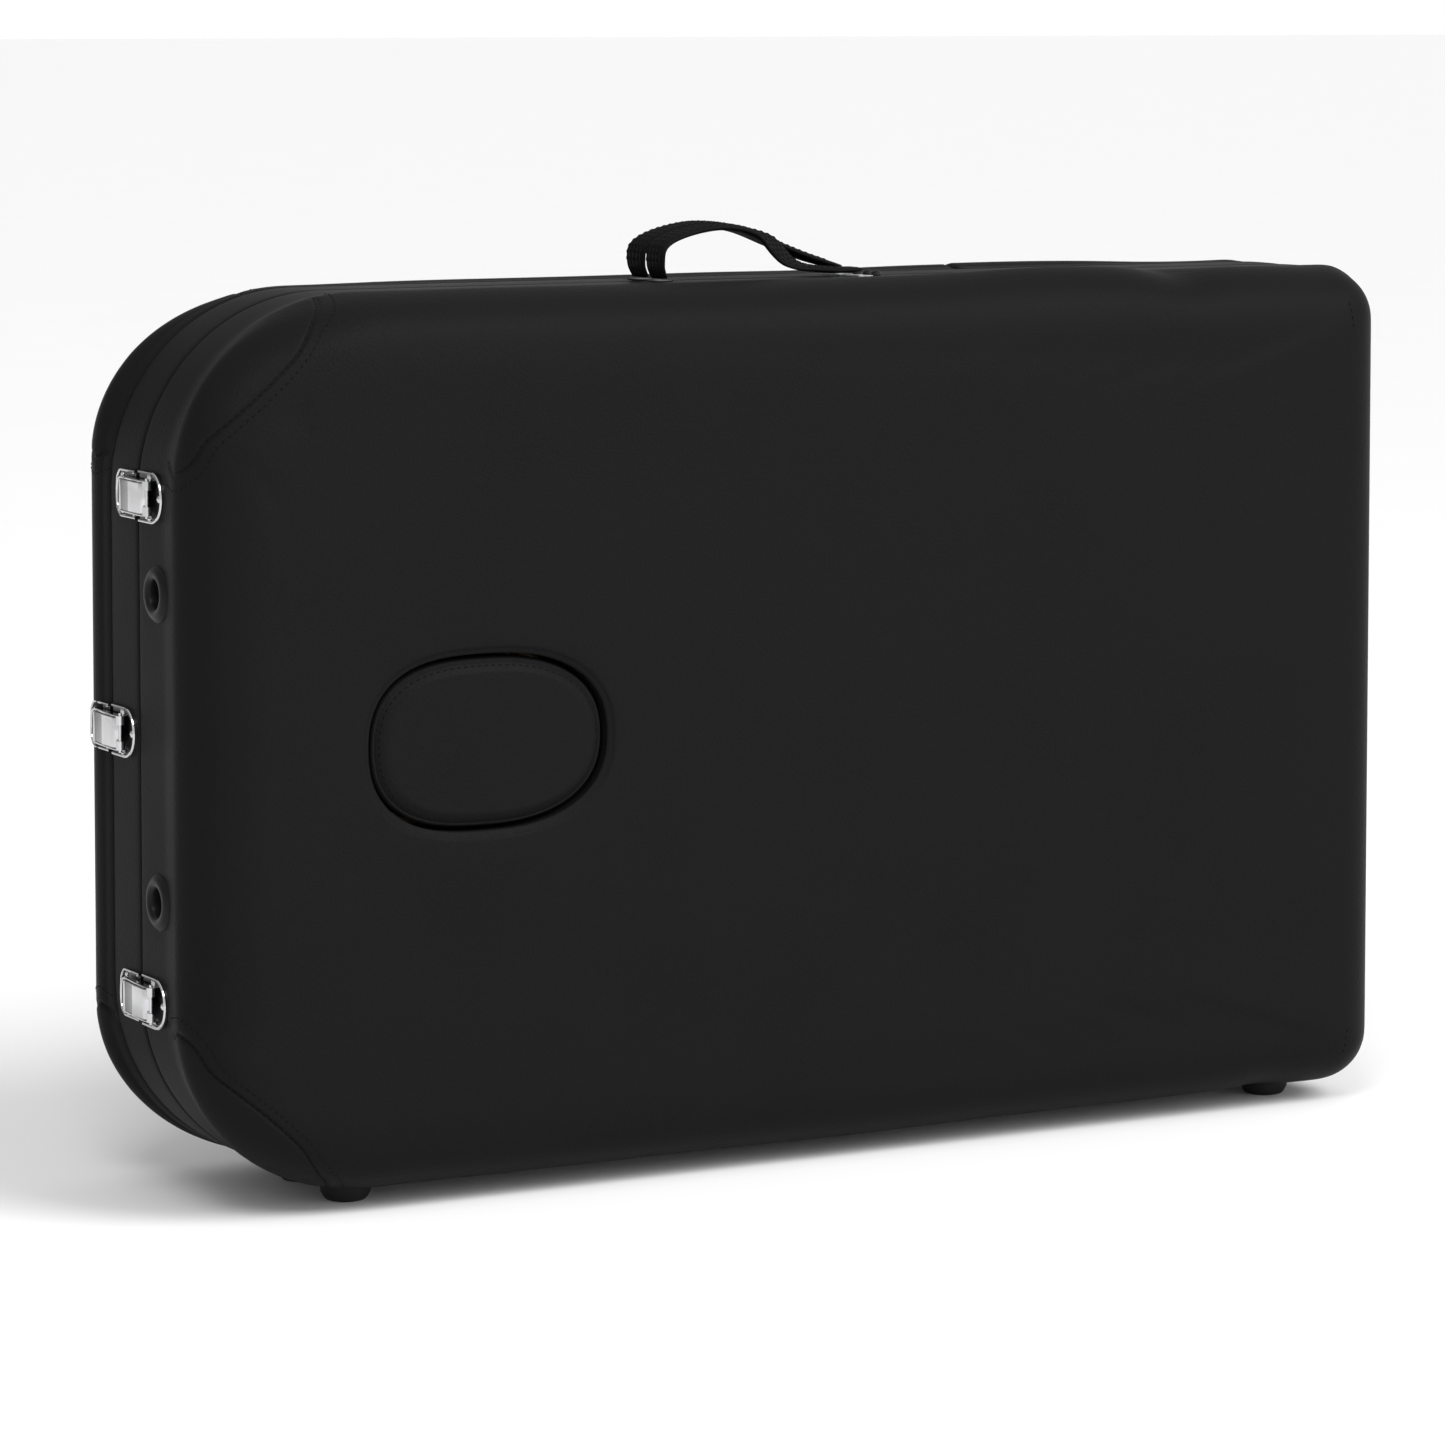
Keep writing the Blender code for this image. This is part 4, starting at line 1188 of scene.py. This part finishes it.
def latch_lever_mesh():
    """Pressed cover in three facets, with turned-down sides and a rolled outline; its middle facet
    and its nose are painted darker, as painted shade.
    """
    bm = bmesh.new()
    prism(bm, at_z(-0.0100, LEVER_SECTION), (0, 0, 0.0200))
    edges = list(bm.edges)
    bmesh.ops.bevel(bm, geom=edges, offset=0.0005, segments=2, affect="EDGES", profile=0.5)
    # Painted shade: the middle facet and the nose get a darker copy of the chrome, standing in for
    # the dark surroundings they reflect
    paint_shade(bm, 1, lambda middle: 0.0004 < middle.y < 0.0150 or middle.y > 0.0188)
    for side in (-1, 1):
        prism(bm, at_z(side * 0.0103, LEVER_SIDE), (0, 0, side * 0.0015))
        bead(bm, smooth_path(at_z(side * 0.0112, LEVER_RAIL), 12), 0.0007)
    bead(bm, smooth_path(at_x(-0.0056, LEVER_NOSE), 20), 0.0009)
    for z in (-0.0085, 0.0085):
        bead(bm, [(PIN_X, PIN_Y, z - 0.0030), (PIN_X, PIN_Y, z + 0.0030)], 0.0030, 14)
    return bm_mesh("latch_lever", bm, 35)


def latch_catch_mesh():
    """Catch plate with two rounded corners, a rolled rim, four screws and a low hook."""

    def outline(inset, near=0.0040, middle_y=0.0270, middle_z=0.0070, corner=0.0090):
        half = middle_z + corner - inset
        low = arc_points(middle_y, -middle_z, corner - inset, -pi / 2, 0, 8)
        high = arc_points(middle_y, middle_z, corner - inset, 0, pi / 2, 8)
        return [(near, -half)] + low + high + [(near, half)]

    bm = plate(outline, 0.0009)
    for side in (1, -1):
        screw_head(bm, 0.0270, side * 0.0120, 0.0022, 0.0014)
        screw_head(bm, 0.0085, side * 0.0140, 0.0013, 0.0010)
    hook = [(0.0060, -0.0070), (0.0110, -0.0070), (0.0110, 0.0070), (0.0060, 0.0070)]
    prism(bm, at_x(-0.0012, hook), (-0.0018, 0, 0))
    return bm_mesh("latch_catch", bm, 35)


class MASSAGE_OT_latches(Operator):
    """Makes the three chrome draw latches"""

    bl_idname = "massage_table.latches"
    bl_label = "Draw latches"

    def execute(self, context):
        # The extra finishes are darker chrome copies: painted shade and a painted dark reflection
        painted_shades = ("chrome_facet", "chrome_recess")
        meshes = latch_base_mesh(), latch_catch_mesh(), latch_lever_mesh()
        for name, shift in LATCH_SHIFT.items():
            halves = ("back_half", "backrest") if name == "middle" else ("front_half", "back_half")
            low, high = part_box(f"latch_base_{name}")
            height = (low.z + high.z) / 2 + shift
            place = Matrix.Translation((LATCH_END, low.y + 0.040, height))
            bodies = (*halves, f"latch_{name}")
            for part, mesh, body in zip(("base", "catch", "lever"), meshes, bodies):
                made = mesh.copy()
                made.transform(place)
                stands_for = (f"latch_{part}_{name}",)
                add_piece(
                    f"draw_latch_{part}_{name}", made, "chrome_plate", body, stands_for, painted_shades
                )
        return {"FINISHED"}


# Middle line of each handle strap: distance along the case, height above its top
STRAP_START = (
    (-0.0805, 0.0030), (-0.0835, 0.0120), (-0.0810, 0.0245),
)
STRAP_ROUTES = {
    "back": STRAP_START + (
        (-0.0640, 0.0330), (-0.0360, 0.0375), (-0.0070, 0.0340), (0.0220, 0.0235),
        (0.0500, 0.0130), (0.0740, 0.0060),
    ),
    "front": STRAP_START + (
        (-0.0640, 0.0325), (-0.0360, 0.0370), (-0.0090, 0.0325), (0.0070, 0.0240),
        (0.0180, 0.0150), (0.0320, 0.0080), (0.0530, 0.0052), (0.0740, 0.0052),
    ),
}
# How far the slack front strap turns over where it drops, and where
STRAP_TWIST = {"back": 0.0, "front": radians(38)}
TWIST_X, TWIST_REACH = 0.012, 0.016
STRAP_COUNT = 90


class MASSAGE_OT_handles(Operator):
    """Makes the two ribbed carrying straps with their end plates and rivets"""

    bl_idname = "massage_table.handles"
    bl_label = "Handles"

    def execute(self, context):
        for half, side in HALVES:
            low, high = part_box(f"{half}_handle")
            middle = (low.y + high.y) / 2 - side * 0.0036
            name, body = f"{half}_strap", f"{half}_handle_body"
            centre, up, across = self.lines(half, side, middle)
            strap = self.strap(centre, up, across)
            add_piece(name, strap, "handle_leatherette", body, (f"{half}_handle",))
            offsets = (-0.0105, -0.0052, 0.0, 0.0052, 0.0105)
            rows = [(centre + across * offset + up * 0.003)[5:-5] for offset in offsets]
            sew(f"{name}_stitching", rows, strap, body)
            self.plates(half, middle)
        return {"FINISHED"}

    def lines(self, half, side, middle):
        """The strap's middle line, and at each point its way up and its way across."""
        path = smooth_path(STRAP_ROUTES[half], STRAP_COUNT)
        along = np.gradient(path, axis=0)
        along /= np.linalg.norm(along, axis=1, keepdims=True)
        lean = 0.0006 * side * np.sin(np.linspace(0, 6 * pi, STRAP_COUNT))
        centre = np.column_stack([path[:, 0], middle + lean, TOP + path[:, 1]])
        up = np.column_stack([-along[:, 1], np.zeros(STRAP_COUNT), along[:, 0]])
        across = np.tile([0.0, 1.0, 0.0], (STRAP_COUNT, 1))
        twist = np.exp(-(((path[:, 0] - TWIST_X) / TWIST_REACH) ** 2))[:, None]
        c, s = np.cos(STRAP_TWIST[half] * twist), np.sin(STRAP_TWIST[half] * twist)
        return centre, up * c - across * s, across * c + up * s

    def strap(self, centre, up, across):
        """A flat padded strap with five ribs along it."""
        place = np.linspace(-1, 1, 31)
        ribs = 0.0006 * np.abs(np.cos(2.5 * pi * place)) ** 0.6
        thick = 0.0019 * (1 - 0.75 * np.abs(place) ** 6)
        wide = np.concatenate([place, place[::-1]])[:, None]
        high = np.concatenate([thick + ribs, (-thick - ribs * 0.5)[::-1]])[:, None]
        end = np.minimum(np.arange(STRAP_COUNT), STRAP_COUNT - 1 - np.arange(STRAP_COUNT)) / 10
        taper = np.maximum(0.0, 1 - end)[:, None, None]
        rings = centre[:, None] + across[:, None] * wide * (0.0128 - 0.0016 * taper**2)
        rings = rings + up[:, None] * high * (1 - 0.25 * taper)
        return loft("strap", rings, centre_first=True, centre_last=True)

    def plates(self, half, middle):
        """A small plate under each end of the strap, and two rivets beside its low end."""
        body = f"{half}_half"
        ends = (("high", -0.0805, "moulded_plastic"), ("low", 0.0785, "zinc_steel"))
        for end, x, finish_name in ends:
            bm = bmesh.new()
            points = [
                (x + wide * 0.0060, middle + deep * 0.0092, TOP + 0.0004)
                for wide, deep in ((-1, -1), (1, -1), (1, 1), (-1, 1))
            ]
            prism(bm, points, (0, 0, 0.0008))
            bmesh.ops.bevel(bm, geom=list(bm.edges), offset=0.0003, segments=2, affect="EDGES")
            add_piece(f"{half}_strap_plate_{end}", bm_mesh("plate", bm), finish_name, body)
        profile = [(0.0, 0.0042), (0.0016, 0.0039), (0.0030, 0.0029), (0.0036, 0.0016)]
        profile += [(0.0037, 0.0004), (0.0037, 0.0), (0.0, 0.0)]
        for number, y in enumerate((0.006, -0.006)):
            place = Matrix.Translation((0.0885, middle + y, TOP + 0.0003))
            rivet = turned("rivet", profile, place, 24)
            add_piece(f"{half}_strap_rivet_{number}", rivet, "moulded_plastic", body)


class MASSAGE_OT_feet(Operator):
    """Turns the rubber feet of the case and puts a screw in each"""

    bl_idname = "massage_table.feet"
    bl_label = "Feet"

    def execute(self, context):
        top = BOTTOM - 0.0003
        profile = [(0.0, top), (0.0160, top), (0.0174, top - 0.0012), (0.0175, top - 0.0040)]
        profile += [(0.0168, top - 0.0090), (0.0150, 0.0022), (0.0136, 0.0006), (0.0118, 0.0)]
        profile += [(0.0072, 0.0), (0.0062, 0.0008), (0.0060, 0.0040), (0.0, 0.0040)]
        screw = [(0.0, 0.0016), (0.0030, 0.0019), (0.0046, 0.0030), (0.0048, 0.0041), (0.0, 0.0041)]
        for half, _ in HALVES:
            for end in ("latch_end", "hinge_end"):
                low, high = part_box(f"{half}_foot_{end}")
                middle = (low + high) / 2
                place = Matrix.Translation((middle.x, middle.y, 0))
                name, body = f"{half}_rubber_foot_{end}", f"{half}_half"
                foot = turned("foot", profile, place, 40)
                add_piece(name, foot, "black_rubber", body, (f"{half}_foot_{end}",))
                head = turned("screw", screw, place, 20)
                add_piece(f"{name}_screw", head, "zinc_steel", body)
        return {"FINISHED"}


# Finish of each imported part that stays, by the first of these that its name holds
PART_FINISHES = (
    ("hinge_end_rail", "beech_across"),
    ("rail_", "beech_along"),
    ("latch_end_bow", "beech_across"),
    ("crossboard", "birch_ply"),
    ("prop_rack", "beech_across"),
    ("deck", "birch_ply"),
    ("board", "birch_ply"),
    ("leg_rod", "zinc_steel"),
    ("leg_foot", "black_rubber"),
    ("leg_", "drawn_aluminium"),
    ("fold_hinge", "zinc_steel"),
    ("backrest_prop", "zinc_steel"),
    ("prop_bracket", "moulded_plastic"),
)
HINGE_SCREWS = 8


class MASSAGE_OT_frames(Operator):
    """Finishes the wood, the legs, the fold hinge and the backrest's prop"""

    bl_idname = "massage_table.frames"
    bl_label = "Frames and legs"

    def execute(self, context):
        for name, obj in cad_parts.items():
            if not obj.hide_render:
                found = next(finish_name for part, finish_name in PART_FINISHES if part in name)
                obj.data.materials.clear()
                obj.data.materials.append(finish(found))
        self.hinge_screws()
        return {"FINISHED"}

    def hinge_screws(self):
        """Two rows of countersunk screws in the leaves of the fold hinge."""
        profile = [(0.0, 0.0004), (0.0018, 0.0004), (0.0032, 0.0002), (0.0034, 0.0), (0.0, 0.0)]
        for half, side in HALVES:
            low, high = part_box(f"fold_hinge_{half}_leaf")
            for number in range(HINGE_SCREWS):
                z = low.z + (high.z - low.z) * (number + 0.5) / HINGE_SCREWS
                x = low.x + (0.008 if number % 2 else 0.017)
                place = Matrix.Translation((x, side * 0.00095, z))
                place @= Matrix.Rotation(side * pi / 2, 4, "X")
                name = f"fold_hinge_{half}_screw_{number}"
                add_piece(name, turned("screw", profile, place, 16), "zinc_steel", f"{half}_half")


# ---------------------------------------------------------------- stage


# Kind, place, size or angle, and power of each light
LAMPS = {
    "key": ("AREA", (-2.0, -2.6, 3.8), 1.6, 75),
    "fill": ("AREA", (2.6, -4.0, 1.8), 2.6, 75),
    "sun": ("SUN", (2.6, -3.6, 4.6), radians(30), 1.75),
}
# Where the dome is brightest
BRIGHT_WAY = (0.36, -0.76, 0.54)


def put(obj, place, turn):
    obj.location = place
    obj.rotation_euler = turn
    bpy.context.scene.collection.objects.link(obj)


class MASSAGE_OT_stage(Operator):
    """Sets the floor, the lights and the camera"""

    bl_idname = "massage_table.stage"
    bl_label = "Stage"

    def execute(self, context):
        stage = context.scene.massage_table_stage
        self.floor(stage)
        self.dome(context.scene)
        context.scene.view_settings.view_transform = "Standard"
        for name, (kind, place, size, power) in LAMPS.items():
            lamp = bpy.data.lights.new(name, kind)
            setattr(lamp, "angle" if kind == "SUN" else "size", size)
            lamp.energy = power
            aim = Vector((0, 0, MIDDLE)) - Vector(place)
            put(bpy.data.objects.new(name, lamp), place, aim.to_track_quat("-Z", "Y").to_euler())
        data = bpy.data.cameras.new("camera")
        data.lens = stage.lens
        data.sensor_width = 36
        data.shift_y = stage.shift
        camera = bpy.data.objects.new("camera", data)
        put(camera, stage.camera, (pi / 2 - stage.tilt, 0, stage.turn))
        context.scene.camera = camera
        return {"FINISHED"}

    def floor(self, stage):
        bm = bmesh.new()
        bmesh.ops.create_grid(bm, x_segments=8, y_segments=8, size=120)
        floor = bpy.data.objects.new("floor", bm_mesh("floor", bm))
        bpy.context.scene.collection.objects.link(floor)
        made, tree, place = blank("pale_floor")
        tint = shades(tree, noise(tree, place, 3.0), stage.floor, 0.99, 1.01)
        floor.data.materials.append(dressed(made, tree, Base_Color=tint, Roughness=0.9))

    def dome(self, scene):
        """A soft white dome, brighter on one side and white down to the horizon."""
        world = bpy.data.worlds.new("studio")
        world.use_nodes = True
        tree = world.node_tree
        background = tree.nodes["Background"]
        background.inputs["Color"].default_value = (1, 1, 1, 1)
        way = node(tree, "TexCoord", "Generated")
        lit = node(tree, "VectorMath", "Value", {0: way, 1: BRIGHT_WAY}, operation="DOT_PRODUCT")
        inputs = {"Value": lit, "From Min": -1.0, "To Min": 0.22, "To Max": 0.95}
        side = node(tree, "MapRange", "Result", inputs)
        height = node(tree, "SeparateXYZ", "Z", {"Vector": way})
        inputs = {"Value": height, "From Min": 0.06, "From Max": 0.22}
        rise = node(tree, "MapRange", "Result", inputs)
        tree.links.new(mix(tree, rise, 1.0, side), background.inputs["Strength"])
        scene.world = world


OPERATORS = (
    MASSAGE_OT_stage,
    MASSAGE_OT_front_cover,
    MASSAGE_OT_back_covers,
    MASSAGE_OT_face_plug,
    MASSAGE_OT_port_sockets,
    MASSAGE_OT_latches,
    MASSAGE_OT_handles,
    MASSAGE_OT_feet,
    MASSAGE_OT_frames,
)
SETTINGS = {
    "massage_table_case": CaseSettings,
    "massage_table_stitches": StitchSettings,
    "massage_table_finishes": FinishSettings,
    "massage_table_stage": StageSettings,
}


class MASSAGE_PT_panel(Panel):
    """Lists the steps that dress the table"""

    bl_idname = "MASSAGE_PT_panel"
    bl_label = "Massage table"
    bl_space_type = "VIEW_3D"
    bl_region_type = "UI"
    bl_category = "Massage table"

    def draw(self, context):
        for operator in OPERATORS:
            self.layout.operator(operator.bl_idname)
        for name, group in SETTINGS.items():
            box = self.layout.box()
            for setting in group.__annotations__:
                box.prop(getattr(context.scene, name), setting)


def register():
    for group in SETTINGS.values():
        bpy.utils.register_class(group)
    for name, group in SETTINGS.items():
        setattr(bpy.types.Scene, name, PointerProperty(type=group))
    for operator in OPERATORS:
        bpy.utils.register_class(operator)
    bpy.utils.register_class(MASSAGE_PT_panel)


def unregister():
    bpy.utils.unregister_class(MASSAGE_PT_panel)
    for operator in reversed(OPERATORS):
        bpy.utils.unregister_class(operator)
    for name, group in SETTINGS.items():
        delattr(bpy.types.Scene, name)
        bpy.utils.unregister_class(group)


def main():
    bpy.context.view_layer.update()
    register()
    for operator in OPERATORS:
        group, name = operator.bl_idname.split(".")
        getattr(getattr(bpy.ops, group), name)()


if __name__ == "__main__":
    main()
